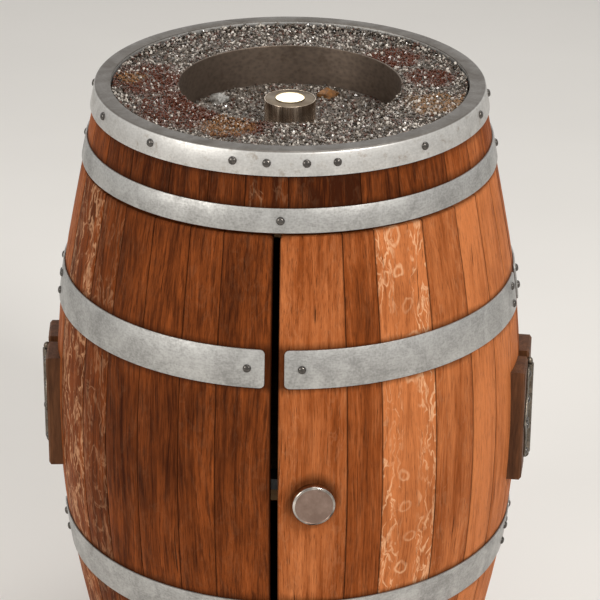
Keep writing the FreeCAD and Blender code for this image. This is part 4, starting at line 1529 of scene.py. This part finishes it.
@dataclass
class FireTop:
    """Bowl, burner cup, fuel can and the crushed glass round and inside the bowl."""

    bowl_radius: float = 0.156
    bowl_wall: float = 0.003
    bowl_top: float = 0.945
    bowl_floor: float = 0.838
    collar_reach: float = 0.172
    collar_top: float = 0.9095
    cup_radius: float = 0.0355
    cup_wall: float = 0.0015
    cup_top: float = 0.923
    can_radius: float = 0.0336
    can_opening: float = 0.020
    can_lip: float = 0.0016
    can_wall: float = 0.0008
    fuel_gap: float = 0.0003
    outer_level: float = 0.9415
    inner_level: float = 0.888
    mound: float = 0.0015
    banked: float = 0.0049
    bank_width: float = 0.016
    bed_outer: float = 0.2440
    heaped_span: Point = (-118.0, 96.0)

    def bowl(self, finish: Material) -> Object:
        """Builds the bowl.

        Args:
            finish: Its steel.

        Returns:
            The bowl.
        """
        r, inner, floor = self.bowl_radius, self.bowl_radius - self.bowl_wall, self.bowl_floor
        reach, collar, under = self.collar_reach, self.collar_top, self.collar_top - self.bowl_wall
        made = turned([
            (0, floor), (r, floor), (r, under), (reach, under), (reach, collar),
            (r, collar), (r, self.bowl_top),
            (inner, self.bowl_top), (inner, floor + self.bowl_wall), (0, floor + self.bowl_wall),
        ], 96)
        named(softened(made, 0.0009, 50, 3), "bowl_shell")
        return placed(smooth(made), Body.CARCASS, finish, ["fire_bowl"])

    def cup(self, finish: Material) -> Object:
        """Builds the burner cup.

        Args:
            finish: Its steel.

        Returns:
            The cup.
        """
        r, inner, low = self.cup_radius, self.cup_radius - self.cup_wall, self.bowl_floor + self.bowl_wall
        top, floor = self.cup_top, low + self.cup_wall
        made = turned([(0, low), (r, low), (r, top), (inner, top), (inner, floor), (0, floor)], 64)
        named(softened(made, 0.0004), "burner_cup_shell")
        return placed(smooth(made), Body.CARCASS, finish, ["burner_cup"])

    def can(self, finish: Material) -> Object:
        """Builds the can with its ring-shaped top.

        Args:
            finish: Its steel.

        Returns:
            The can.
        """
        low = self.bowl_floor + self.bowl_wall + self.cup_wall
        r, wall, mouth = self.can_radius, self.can_wall, self.can_opening
        top, lip = self.cup_top, self.cup_top + self.can_lip
        made = turned([
            (0, low), (r, low), (r, top), (mouth + wall, top), (mouth + wall, lip), (mouth, lip),
            (mouth, top - wall), (r - wall, top - wall), (r - wall, low + wall), (0, low + wall),
        ], 64)
        named(softened(made, 0.0003), "can_shell")
        return placed(smooth(made), Body.FUEL_CAN, finish, ["fuel_can"])

    def burning_fuel(self, finish: Material) -> Object:
        """Builds the fuel, with a painted glow on the crown that shows in the can's opening.

        Args:
            finish: The fuel, with its painted glow.

        Returns:
            The fuel.
        """
        low = self.bowl_floor + self.bowl_wall + self.cup_wall + self.can_wall
        r = self.can_radius - self.can_wall - self.fuel_gap
        mouth = self.can_opening - 0.0004
        shoulder, crown = self.cup_top - 0.002, self.cup_top + self.can_lip - 0.0002
        made = turned([
            (0, low), (r, low), (r, shoulder), (mouth, shoulder), (mouth, crown - 0.0008),
            (mouth * 0.93, crown),
            (mouth * 0.5, crown + 0.0004), (0, crown + 0.0006),
        ], 48)
        named(made, "burning_fuel")
        return placed(smooth(made, 50), Body.FUEL_CAN, finish, ["fuel"])

    def beds(self) -> list[GravelBed]:
        """Lays out the beds round the bowl, in it, and heaped against its outside.

        Returns:
            The beds.
        """
        rim, wall = self.bowl_radius + 0.001, self.bowl_radius - self.bowl_wall
        level, inner, edge = self.outer_level, self.inner_level, self.bowl_top
        mound, bank = level + self.mound, self.bed_outer - self.bank_width
        round_bowl = (
            (rim + 0.0015, level), ((self.bowl_radius + self.bed_outer) / 2, mound), (bank, mound),
            (self.bed_outer - 0.0008, level + self.banked),
        )
        in_bowl = ((self.cup_radius + 0.003, inner), (0.1, inner + 0.001), (wall - 0.003, inner))
        heap = ((rim + 0.014, level + 0.0016), (rim + 0.0035, edge - 0.0012), (wall + 0.0008, edge + 0.0008))
        core = ((rim + 0.013, level + 0.0012), (rim + 0.005, edge - 0.0035), (rim + 0.0016, edge - 0.0030))
        return [
            GravelBed("outer_chips", round_bowl, 0.0027, 0.0012, 3),
            GravelBed("bowl_chips", in_bowl, 0.0029, 0.0013, 5),
            GravelBed("heaped_chips", heap, 0.0025, 0.0007, 9, self.heaped_span),
            GravelBed("heap_core", core, 0.0026, 0.0009, 11),
        ]

    def build(self, looks: dict[str, Material]) -> None:
        """Builds the whole fire top.

        Args:
            looks: Materials by name.
        """
        self.bowl(looks["bowl_bronze_steel"])
        self.cup(looks["cup_polished"])
        self.can(looks["can_tinned"])
        self.burning_fuel(looks["fuel_painted_glow"])
        for bed in self.beds():
            bed.build(looks["crushed_glass_chips"])
        lying = self.inner_level + 0.004
        GlassLump("amber_lump", (0.048, 0.102, lying), (0.032, 0.026, 0.019), 25).build(looks["amber_glass"])
        GlassLump("clear_lump", (-0.104, 0.072, lying), (0.028, 0.024, 0.018), 22).build(looks["clear_glass"])


# ---------------------------------------------------------------- hinges and knob


@dataclass
class Hinge:
    """One surface hinge: two wrought leaves with knuckles, a pin and round-head nails."""

    side: int
    azimuth: float = 85.0
    plane: float = 0.343
    middle: float = 0.475
    height: float = 0.140
    leaf: float = 0.003
    reach: float = 0.058
    shoulder: float = 0.020
    waist: float = 0.027
    waist_rise: float = 0.041
    curve: float = 0.004
    knuckle: float = 0.0065
    clearance: float = 0.0005
    bore: float = 0.0030
    tab_gap: float = 0.0008
    tab_overlap: float = 0.001
    pin: float = 0.00295
    finial: float = 0.005
    finial_height: float = 0.010
    nail_edge: float = 0.009
    nail_radius: float = 0.0049
    nail_height: float = 0.0031

    def turn(self) -> Matrix:
        """Returns the turn from the front to this hinge."""
        return about_z(self.side * self.azimuth)

    def bow(self, near: Vector, far: Vector, bend: float, count: int = 7) -> list[Vector]:
        """Draws an arc between two points.

        Args:
            near: Start.
            far: End.
            bend: Height of the arc over its chord.
            count: Number of steps.

        Returns:
            Its points, the first one left out.
        """
        chord = far - near
        across = Vector((-chord.y, chord.x)).normalized()
        steps = [number / count for number in range(1, count + 1)]
        return [near + chord * step + across * bend * 4 * step * (1 - step) for step in steps]

    def plate(self, side: int) -> Object:
        """Shapes the flat of one leaf, standing on the block's face in front of the cask.

        Args:
            side: 1 to the right of the pin, -1 to the left, seen from outside.

        Returns:
            The plate.
        """
        inner, half = self.knuckle + self.clearance, self.height / 2
        top = [Vector((inner, half)), Vector((self.shoulder, half))]
        waist, tip = Vector((self.waist, self.waist_rise)), Vector((self.reach, 0))
        top += self.bow(top[-1], waist, self.curve) + self.bow(waist, tip, -self.curve)
        lower = [Vector((point.x, -point.y)) for point in reversed(top[:-1])]
        made = outline([(side * point.x, point.y) for point in top + lower])
        with Shaping(made):
            bpy.ops.mesh.edge_face_add()
            bpy.ops.mesh.extrude_region_move(TRANSFORM_OT_translate={"value": (0, -self.leaf, 0)})
            select_all()
            bpy.ops.mesh.normals_make_consistent(inside=False)
        softened(made, 0.0007)
        return baked(made, Matrix.Translation((0, -self.plane, self.middle)))

    def knuckle_piece(self, low: float, high: float, side: int) -> list[Object]:
        """Shapes one knuckle and the tab that joins it to its leaf.

        Args:
            low: Height of its lower end.
            high: Height of its upper end.
            side: Side of the pin that its leaf is on.

        Returns:
            The knuckle and the tab.
        """
        axis = -self.plane - self.leaf / 2
        ring = turned([(self.bore, low), (self.knuckle, low), (self.knuckle, high), (self.bore, high)], 28)
        baked(softened(ring, 0.0006), Matrix.Translation((0, axis, 0)))
        near, far = self.pin + self.tab_gap, self.knuckle + self.clearance + self.tab_overlap
        tab = started("cube", size=1, location=(side * (near + far) / 2, axis, (low + high) / 2))
        tab.scale = (far - near, self.leaf, high - low - 0.001)
        return [ring, softened(baked(tab), 0.0004)]

    def leaf_piece(self, name: str, node: str, body: Body, side: int, centre: bool, iron: Material) -> None:
        """Builds one leaf with its knuckles.

        Args:
            name: Name of the piece.
            node: Node that it stands for.
            body: Body that it rides on.
            side: 1 to the right of the pin, -1 to the left, seen from outside.
            centre: Whether it carries the middle knuckle, and not the outer two.
            iron: The finish.
        """
        pieces = [self.plate(side)]
        pitch = self.height / 3
        low = self.middle - self.height / 2
        for number in ((1,) if centre else (0, 2)):
            start = low + number * pitch + (self.clearance / 2 if number else 0)
            end = low + (number + 1) * pitch - (0 if number == 2 else self.clearance / 2)
            pieces += self.knuckle_piece(start, end, side)
        made = baked(joined(pieces, name), self.turn())
        placed(smooth(made), body, iron, [node])

    def pin_piece(self, name: str, node: str, iron: Material) -> None:
        """Builds the pin with a turned finial at each end.

        Args:
            name: Name of the piece.
            node: Node that it stands for.
            iron: The finish.
        """
        half = self.height / 2
        ball = ((0.86, 0.14), (1.0, 0.36), (0.92, 0.6), (0.6, 0.82), (0.3, 0.94), (0.0, 1.0))
        finial = [(self.pin, half)]
        finial += [(self.finial * across, half + self.finial_height * rise) for across, rise in ball]
        made = turned(finial + [(x, -z) for x, z in reversed(finial)], 24)
        baked(made, self.turn() @ Matrix.Translation((0, -self.plane - self.leaf / 2, self.middle)))
        placed(smooth(named(made, name), 50), Body.CARCASS, iron, [node])

    def nails(self, side: int) -> list[Object]:
        """Shapes the five nails of one leaf.

        Args:
            side: Side of the pin that the leaf is on.

        Returns:
            The nails.
        """
        pattern = stud(self.nail_radius, self.nail_height)
        near = (self.knuckle + self.waist) / 2
        places = [(self.reach - 2 * self.nail_edge, 0.0)]
        for rise in (self.height / 2 - self.nail_edge, self.waist_rise / 2):
            places += [(near, rise), (near, -rise)]
        facing = Matrix.Rotation(math.pi / 2, 4, "X")
        face = -self.plane - self.leaf
        made = []
        for across, rise in places:
            spot = Matrix.Translation((side * across, face, self.middle + rise))
            made.append(twin(pattern, self.turn() @ spot @ facing))
        removed(pattern)
        return made

    def build(self, iron: Material, nail_iron: Material) -> list[Object]:
        """Builds the hinge.

        Args:
            iron: Finish of the leaves and the pin.
            nail_iron: Finish of the nails.

        Returns:
            The nails of its post leaf, which share a node with the other hinge's.
        """
        word = "right" if self.side > 0 else "left"
        door = Body.RIGHT_DOOR if self.side > 0 else Body.LEFT_DOOR
        self.leaf_piece(word + "_post_strap", word + "_post_leaf", Body.CARCASS, self.side, False, iron)
        self.leaf_piece(word + "_door_strap", word + "_door_leaf", door, -self.side, True, iron)
        self.pin_piece(word + "_pin", word + "_hinge_pin", iron)
        door_nails = joined(self.nails(-self.side), word + "_door_nails")
        placed(door_nails, door, nail_iron, [word + "_leaf_nails"])
        return self.nails(self.side)


@dataclass
class PullKnob:
    """Turned steel knob on the right door: foot, neck and a drum with a polished rim and brushed face."""

    azimuth: float
    middle: float = 0.475
    radius: float = 0.0290
    height: float = 0.0180
    rim: float = 0.0034
    recess: float = 0.0005
    drum_low: float = 0.0058
    neck: float = 0.010
    foot: float = 0.015
    rim_round: float = 0.0029

    def build(self, steel: Material, face_steel: Material) -> Object:
        """Builds the knob.

        Args:
            steel: Polished steel of the rim and neck.
            face_steel: Brushed steel of the face.

        Returns:
            The knob.
        """
        top, low = self.height, self.drum_low
        inner, face_height = self.radius - self.rim, self.height - self.recess
        made = turned([
            (0, 0), (self.foot, 0), (self.foot, 0.0008), (self.neck + 0.001, 0.0022), (self.neck, 0.0032),
            (self.neck, low - 0.0012), (self.neck + 0.0014, low), (self.radius, low), (self.radius, top),
            (inner, top), (inner - self.recess, face_height), (0, face_height),
        ], 72)
        rounded_ring(made, top, self.radius, self.rim_round, 6)
        rounded_ring(made, low, self.radius, self.recess, 2)
        made.data.materials.append(steel)
        made.data.materials.append(face_steel)
        for polygon in made.data.polygons:
            centre = polygon.center
            on_face = centre.z > face_height - TINY and centre.xy.length < inner
            polygon.material_index = 1 if on_face else 0
        named(baked(smooth(made, 30), SIDE.stand(self.azimuth, self.middle, 0.0)), "turned_knob")
        baked(made, Matrix.Translation((0, CASK_AXIS_Y, 0)))
        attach(made, Body.RIGHT_DOOR.value)
        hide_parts("pull_knob")
        log.info("turned_knob: %d faces on right_door", len(made.data.polygons))
        return made


# ---------------------------------------------------------------- the whole cabinet


@dataclass
class Cabinet:
    """The cask with its doors, hoops, rivets and inner screws."""

    front_end: float = 85.26
    gap_edge: float = 0.952
    door_end: float = 84.74
    door_low: float = 0.111
    door_high: float = 0.839
    fixed_drop: float = 0.108
    rim_rivet_drop: float = 0.016
    rim_rivet_seat: float = 0.0038
    quarter_middle: float = 0.09025
    quarter_width: float = 0.0325
    foot_middle: float = 0.020
    foot_width: float = 0.032
    bilge_middle: float = 0.6635
    bilge_width: float = 0.053
    setback: float = 1.385
    rivet_inset: float = 4.15
    pair_half: float = 0.013
    rim_rivets: tuple[float, ...] = (-92, -64, -39, -12.5, -3, 8, 16.5, 44, 74, 92, 136, 180, 224)
    quarter_rivets: tuple[float, ...] = (-93, 1, 93, 180)
    foot_rivets: tuple[float, ...] = (-60, -4, 4, 60, 180)
    upper_widths: tuple[int, ...] = (68, 62, 60, 71, 59, 51, 57, 97, 56, 84, 56, 54, 52)
    # The upper short staves are darkest at the front middle: partly their own tone, partly painted shade
    # under the rim band.
    upper_tones: tuple[float, ...] = (
        0.60, 0.36, 0.14, 0.10, 0.15, 0.12, 0.10, 0.08, 0.20, 0.28, 0.50, 0.56, 0.56,
    )
    lower_widths: tuple[int, ...] = (70, 74, 58, 62, 66, 56, 80, 92, 52, 86, 72, 60, 64)
    lower_tones: tuple[float, ...] = (0.5, 0.4, 0.55, 0.35, 0.45, 0.3, 0.5, 0.4, 0.6, 0.45, 0.5, 0.55, 0.4)
    left_widths: tuple[int, ...] = (76, 92, 58, 62, 66, 54, 75)
    left_tones: tuple[float, ...] = (0.60, 0.38, 0.22, 0.23, 0.26, 0.30, 0.27)
    right_widths: tuple[int, ...] = (94, 50, 86, 73, 60, 62, 59)
    right_tones: tuple[float, ...] = (0.64, 0.50, 0.94, 0.74, 0.98, 0.90, 0.86)
    rear_widths: tuple[int, ...] = (88, 96, 84, 104, 78, 92, 86, 100, 82, 94, 80, 98)
    rear_tones: tuple[float, ...] = (0.6, 0.4, 0.7, 0.5, 0.35, 0.65, 0.45, 0.75, 0.5, 0.4, 0.6, 0.55)
    screw_radius: float = 0.0038
    screw_height: float = 0.0020
    rail_heights: Point = (0.861, 0.089)
    rail_depth: float = 0.046
    cleat_height: float = 0.444
    cleat_depth: float = 0.044
    ledge_heights: Point = (0.190, 0.760)
    ledge_depth: float = 0.042
    ledge_screws: tuple[float, ...] = (9, 20, 31, 43, 55, 66, 76)
    screw_step: float = 6.5

    def knob_azimuth(self) -> float:
        """Returns where the knob stands: the middle of the right door's first stave."""
        share = self.right_widths[0] / sum(self.right_widths)
        return self.gap_edge + (self.door_end - self.gap_edge) * share / 2

    def bilge_heights(self) -> tuple[tuple[str, float], ...]:
        """Returns the word and the height of each bilge hoop."""
        return ("upper", self.bilge_middle), ("lower", SIDE.height - self.bilge_middle)

    def staves(self, oak: Material) -> None:
        """Builds every stretch of staves.

        Args:
            oak: The cask's oak.
        """
        top, drop = SIDE.height - SIDE.cap_thickness, self.fixed_drop
        end, edge, far = self.front_end, self.gap_edge, self.door_end
        low, high = self.door_low, self.door_high
        left, right, fixed = Body.LEFT_DOOR, Body.RIGHT_DOOR, Body.CARCASS
        for run in (
            StaveRun("back_staves", "rear_staves", fixed, end, 360 - end, 0.0, top,
                     self.rear_widths, self.rear_tones, {2: 0.6, 7: 0.8}, 11),
            StaveRun("top_short_staves", "upper_front_staves", fixed, -end, end, SIDE.height - drop, top,
                     self.upper_widths, self.upper_tones, {6: 0.22}, 12),
            StaveRun("bottom_short_staves", "lower_front_staves", fixed, -end, end, 0.0, drop,
                     self.lower_widths, self.lower_tones, {3: 0.5}, 13),
            StaveRun("left_door_planks", "left_door_staves", left, -far, -edge, low, high,
                     self.left_widths, self.left_tones, {1: 0.65, 0: 0.25, 2: 0.25}, 14, -1),
            StaveRun("right_door_planks", "right_door_staves", right, edge, far, low, high,
                     self.right_widths, self.right_tones, {2: 0.95, 0: 0.10, 3: 0.10}, 15, 1),
        ):
            run.build(oak)

    def hoops(self, steel: Material, rim_steel: Material) -> None:
        """Builds the rim band and every hoop.

        Args:
            steel: Finish of the hoops.
            rim_steel: Finish of the rim band.
        """
        RimCap().build(rim_steel)
        upper_quarter = SIDE.height - self.quarter_middle
        for name, node, middle, width in (
            ("upper_quarter_band", "upper_quarter_hoop", upper_quarter, self.quarter_width),
            ("lower_quarter_band", "lower_quarter_hoop", self.quarter_middle, self.quarter_width),
            ("foot_band", "foot_hoop", self.foot_middle, self.foot_width),
        ):
            Hoop(name, node, Body.CARCASS, middle, width).build(steel)
        near, far = self.gap_edge + self.setback, self.door_end - self.setback
        back = self.front_end + self.setback
        for word, middle in self.bilge_heights():
            for name, node, body, start, end in (
                (word + "_bilge_band", word + "_bilge_hoop", Body.CARCASS, back, 360 - back),
                (f"left_{word}_band", f"left_{word}_hoop", Body.LEFT_DOOR, -far, -near),
                (f"right_{word}_band", f"right_{word}_hoop", Body.RIGHT_DOOR, near, far),
            ):
                Hoop(name, node, body, middle, self.bilge_width, start, end).build(steel)

    def rivets(self, iron: Material) -> None:
        """Builds the rivets of the rim and the hoops.

        Args:
            iron: Their finish.
        """
        rim = [(a, SIDE.height - self.rim_rivet_drop, 0.0) for a in self.rim_rivets]
        quarters = (SIDE.height - self.quarter_middle, self.quarter_middle)
        quarter = [(a, z, 0.0) for z in quarters for a in self.quarter_rivets]
        foot = [(a, self.foot_middle, 0.0) for a in self.foot_rivets]
        RivetRow("rim_studs", "rim_rivets", Body.CARCASS, rim, self.rim_rivet_seat).build(iron)
        RivetRow("quarter_studs", "quarter_hoop_rivets", Body.CARCASS, quarter).build(iron)
        RivetRow("foot_studs", "foot_hoop_rivets", Body.CARCASS, foot).build(iron)
        inset = self.setback + self.rivet_inset
        back, near, far = self.front_end + inset, self.gap_edge + inset, self.door_end - inset
        for name, node, body, single, pair in (
            ("bilge_studs", "bilge_hoop_rivets", Body.CARCASS, 180, (back, -back)),
            ("left_studs", "left_hoop_rivets", Body.LEFT_DOOR, -near, (-far,)),
            ("right_studs", "right_hoop_rivets", Body.RIGHT_DOOR, near, (far,)),
        ):
            places = [(single, z, 0.0) for _, z in self.bilge_heights()]
            shifts = (-self.pair_half, self.pair_half)
            places += [(a, z, shift) for _, z in self.bilge_heights() for a in pair for shift in shifts]
            RivetRow(name, node, body, places).build(iron)

    def screws(self, steel: Material) -> None:
        """Builds the wood screws inside: in the rails, the cleat and the door ledges.

        Args:
            steel: Their finish.
        """
        pattern = stud(self.screw_radius, self.screw_height, 16)
        turns = [number * self.screw_step * 2 for number in range(-5, 6)]
        rails = [(turn, z, self.rail_depth) for turn in turns for z in self.rail_heights]
        cleat = [(180 + a * self.screw_step * 3, self.cleat_height, self.cleat_depth) for a in range(-3, 4)]
        ledge = [(a, z, self.ledge_depth) for a in self.ledge_screws for z in self.ledge_heights]
        for name, body, side, places in (
            ("rail_screws", Body.CARCASS, 1, rails + cleat),
            ("left_ledge_screws", Body.LEFT_DOOR, -1, ledge),
            ("right_ledge_screws", Body.RIGHT_DOOR, 1, ledge),
        ):
            heads = [twin(pattern, SIDE.stand(side * a, z, -depth, True)) for a, z, depth in places]
            placed(joined(heads, name), body, steel)
        removed(pattern)

    def inner_nodes(self, looks: dict[str, Material]) -> None:
        """Dresses the nodes that keep their own shape.

        Args:
            looks: Materials by name.
        """
        sides = ("left", "right")
        for look, nodes in {
            "inner_oak_plain": ["head_rail", "sill_rail", "shelf_cleat", "left_ledges", "right_ledges"],
            "head_oak_boards": ["top_head_boards", "bottom_head_boards"],
            "dark_block_wood": [side + part for side in sides for part in ("_post_block", "_door_block")],
            "zinc_plate": ["catch_magnets", "left_strike_plate", "right_strike_plate", "knob_bolt"],
            "shelf_oak": ["shelf"],
            "catch_black_plastic": ["catch_housing"],
            "tray_dark_steel": ["gravel_tray"],
            "bed_under_chips": ["outer_gravel", "bowl_gravel"],
        }.items():
            for name in nodes:
                mesh = frame["nodes"][name].data
                mesh.materials.clear()
                mesh.materials.append(looks[look])
                log.info("%s keeps its shape, dressed in %s", name, look)

    def build(self, looks: dict[str, Material]) -> None:
        """Builds the whole cabinet.

        Args:
            looks: Materials by name.
        """
        self.staves(looks["cask_oak"])
        self.hoops(looks["hoop_steel_worn"], looks["rim_steel_worn"])
        self.rivets(looks["rivet_iron_dark"])
        self.screws(looks["zinc_plate"])
        FireTop().build(looks)
        iron, nail_iron = looks["hinge_iron"], looks["rivet_iron_dark"]
        nails = [nail for side in (-1, 1) for nail in Hinge(side).build(iron, nail_iron)]
        placed(joined(nails, "post_nails"), Body.CARCASS, nail_iron, ["post_leaf_nails"])
        PullKnob(self.knob_azimuth()).build(looks["knob_polished"], looks["knob_brushed"])
        self.inner_nodes(looks)


def finishes(knob_azimuth: float) -> dict[str, Material]:
    """Makes every material of the cabinet.

    Args:
        knob_azimuth: Where the knob stands, in degrees from the front.

    Returns:
        The materials by name.
    """
    oak_tones = ((0.20, 0.10, 0.045), (0.42, 0.25, 0.12))
    return {look.name: look.build() for look in (
        CaskOak(knob_azimuth),
        PlainOak("inner_oak_plain", *oak_tones),
        PlainOak("head_oak_boards", (0.16, 0.085, 0.04), (0.33, 0.20, 0.10), (70.0, 5.0, 70.0)),
        PlainOak("shelf_oak", *oak_tones, (5.0, 70.0, 70.0)),
        PlainOak("dark_block_wood", (0.040, 0.016, 0.007), (0.140, 0.056, 0.023), (60.0, 60.0, 6.0), 0.5),
        WornSteel("hoop_steel_worn", (0.24, 0.235, 0.225), (0.44, 0.435, 0.42), 0.75, 0.40, 0.55,
                  scratch=0.6, frost=0.25),
        WornSteel("rim_steel_worn", (0.38, 0.37, 0.355), (0.56, 0.55, 0.53), 0.75, 0.36, 0.5, scratch=0.6,
                  stain=(0.30, 0.262, 0.222), frost=0.25, shaded_above=SIDE.height - 0.0008),
        WornSteel("rivet_iron_dark", (0.035, 0.032, 0.029), (0.12, 0.108, 0.098), 0.8, 0.14, 0.28, 120.0),
        WornSteel("hinge_iron", (0.045, 0.038, 0.03), (0.20, 0.17, 0.135), 0.9, 0.28, 0.5, 70.0, 0.4,
                  (0.10, 0.05, 0.022)),
        WornSteel("bowl_bronze_steel", (0.072, 0.052, 0.039), (0.142, 0.106, 0.080), 0.75, 0.40, 0.55, 14.0,
                  0.2, (0.06, 0.04, 0.027)),
        WornSteel("tray_dark_steel", (0.03, 0.027, 0.024), (0.09, 0.08, 0.07), 0.7, 0.4, 0.6, 30.0),
        TurnedSteel("cup_polished", (0.86, 0.72, 0.58), (0.27, 0.21, 0.16), 0.20, (500.0, 500.0, 8.0),
                    (95.0, 95.0, 3.0)),
        TurnedSteel("can_tinned", (0.26, 0.205, 0.145), (0.16, 0.122, 0.085), 0.32, (40.0, 40.0, 900.0)),
        # Painted reflections: the polished knob's clouds run from near black to pale.
        TurnedSteel("knob_polished", (0.60, 0.55, 0.50), (0.07, 0.055, 0.046), 0.12, (300.0, 40.0, 300.0),
                    even(30.0)),
        TurnedSteel("knob_brushed", (0.27, 0.195, 0.162), (0.185, 0.128, 0.103), 0.36, (1200.0, 60.0, 60.0)),
        TurnedSteel("zinc_plate", (0.60, 0.60, 0.58), (0.42, 0.42, 0.40), 0.32, even(200.0)),
        PlainSurface("catch_black_plastic", even(0.012), even(0.03), 0.45),
        PlainSurface("fuel_painted_glow", (0.95, 0.86, 0.62), (1.0, 0.95, 0.80), 0.4, 60.0, 1.1),
        PlainSurface("bed_under_chips", (0.05, 0.042, 0.036), (0.20, 0.17, 0.145), 0.6, 160.0),
        PlainSurface("amber_glass", (0.060, 0.026, 0.009), (0.30, 0.135, 0.042), 0.25, 160.0),
        PlainSurface("clear_glass", (0.075, 0.070, 0.063), (0.42, 0.41, 0.385), 0.22, 180.0),
        CrushedGlass(),
    )}


# ---------------------------------------------------------------- studio


@dataclass(frozen=True)
class Lamp:
    """A soft square light that faces the cask."""

    name: str
    place: Triple
    size: float
    power: float
    warmth: Colour
    aim: Triple = (0, 0, 0.6)

    def build(self) -> None:
        """Hangs the light."""
        lamp = bpy.data.lights.new(self.name, "AREA")
        lamp.size, lamp.energy, lamp.color = self.size, self.power, self.warmth
        made = bpy.data.objects.new(self.name, lamp)
        bpy.context.scene.collection.objects.link(made)
        made.location = self.place
        made.rotation_euler = (Vector(self.aim) - Vector(self.place)).to_track_quat("-Z", "Y").to_euler()


@dataclass
class Studio:
    """Floor, soft lights and the camera."""

    distance: float = 3.623
    camera_height: float = 2.282
    azimuth: float = 3.3
    pitch: float = 24.672
    yaw: float = 0.25
    roll: float = 0.45
    lens: float = 168.5
    sensor: float = 36.0
    floor_size: float = 14.0
    floor_colour: Colour = (0.86, 0.845, 0.82)
    seen_colour: Colour = (0.93, 0.92, 0.90)
    lit_colour: Colour = (1.0, 0.97, 0.93)
    lit_strength: float = 0.42
    lamps: tuple[Lamp, ...] = (
        Lamp("key", (2.3, -2.7, 3.3), 0.9, 120.0, (1.0, 0.97, 0.93)),
        Lamp("fill", (-2.9, -2.4, 2.2), 1.8, 68.0, (1.0, 0.97, 0.92)),
        Lamp("top", (0.5, 0.7, 4.2), 1.8, 45.0, (1.0, 0.98, 0.95)),
    )

    def floor(self) -> None:
        """Lays a plain pale floor."""
        ground = named(started("plane", size=self.floor_size, location=(0, 0, 0)), "floor")
        f = Finish("pale_floor")
        cloud = f.grain(f.position(), Grain(even(2.0)))
        darker = tuple(value * 0.97 for value in self.floor_colour)
        colour = f.mixed(f.band(cloud, 0.3, 0.7), darker, self.floor_colour)
        ground.data.materials.append(f.dress(Base_Color=colour, Roughness=0.7))

    def sky(self) -> None:
        """Fills the room with pale light and a pale background."""
        world = bpy.data.worlds.new("room")
        bpy.context.scene.world = world
        world.use_nodes = True
        nodes, links = world.node_tree.nodes, world.node_tree.links
        seen, lit = nodes["Background"], nodes.new("ShaderNodeBackground")
        seen.inputs[0].default_value = (*self.seen_colour, 1)
        lit.inputs[0].default_value = (*self.lit_colour, 1)
        lit.inputs[1].default_value = self.lit_strength
        path, mix = nodes.new("ShaderNodeLightPath"), nodes.new("ShaderNodeMixShader")
        share = path.outputs["Is Camera Ray"]
        for ray in ("Is Glossy Ray", "Is Transmission Ray"):
            total = nodes.new("ShaderNodeMath")
            total.operation, total.use_clamp = "ADD", True
            links.new(share, total.inputs[0])
            links.new(path.outputs[ray], total.inputs[1])
            share = total.outputs[0]
        for place, output in enumerate((share, lit.outputs[0], seen.outputs[0])):
            links.new(output, mix.inputs[place])
        links.new(mix.outputs[0], nodes["World Output"].inputs[0])

    def camera(self) -> None:
        """Stands the camera where it looks down on the fire top."""
        lens = bpy.data.cameras.new("camera")
        lens.lens, lens.sensor_width = self.lens, self.sensor
        made = bpy.data.objects.new("camera", lens)
        bpy.context.scene.collection.objects.link(made)
        stand = math.radians(self.azimuth)
        x, y = self.distance * math.sin(stand), CASK_AXIS_Y - self.distance * math.cos(stand)
        made.location = (x, y, self.camera_height)
        tilt = Matrix.Rotation(math.radians(90 - self.pitch), 4, "X")
        made.rotation_euler = (about_z(self.azimuth - self.yaw) @ tilt @ about_z(self.roll)).to_euler()
        bpy.context.scene.camera = made

    def build(self) -> None:
        """Sets up the studio."""
        self.floor()
        self.sky()
        for lamp in self.lamps:
            lamp.build()
        self.camera()
        bpy.context.scene.view_settings.view_transform = "Standard"


def main() -> None:
    """Builds the cabinet's looks and reports each piece."""
    logging.basicConfig(level=logging.INFO, format="%(name)s: %(message)s")
    cabinet = Cabinet()
    looks = finishes(cabinet.knob_azimuth())
    Studio().build()
    cabinet.build(looks)


if __name__ == "__main__":
    main()
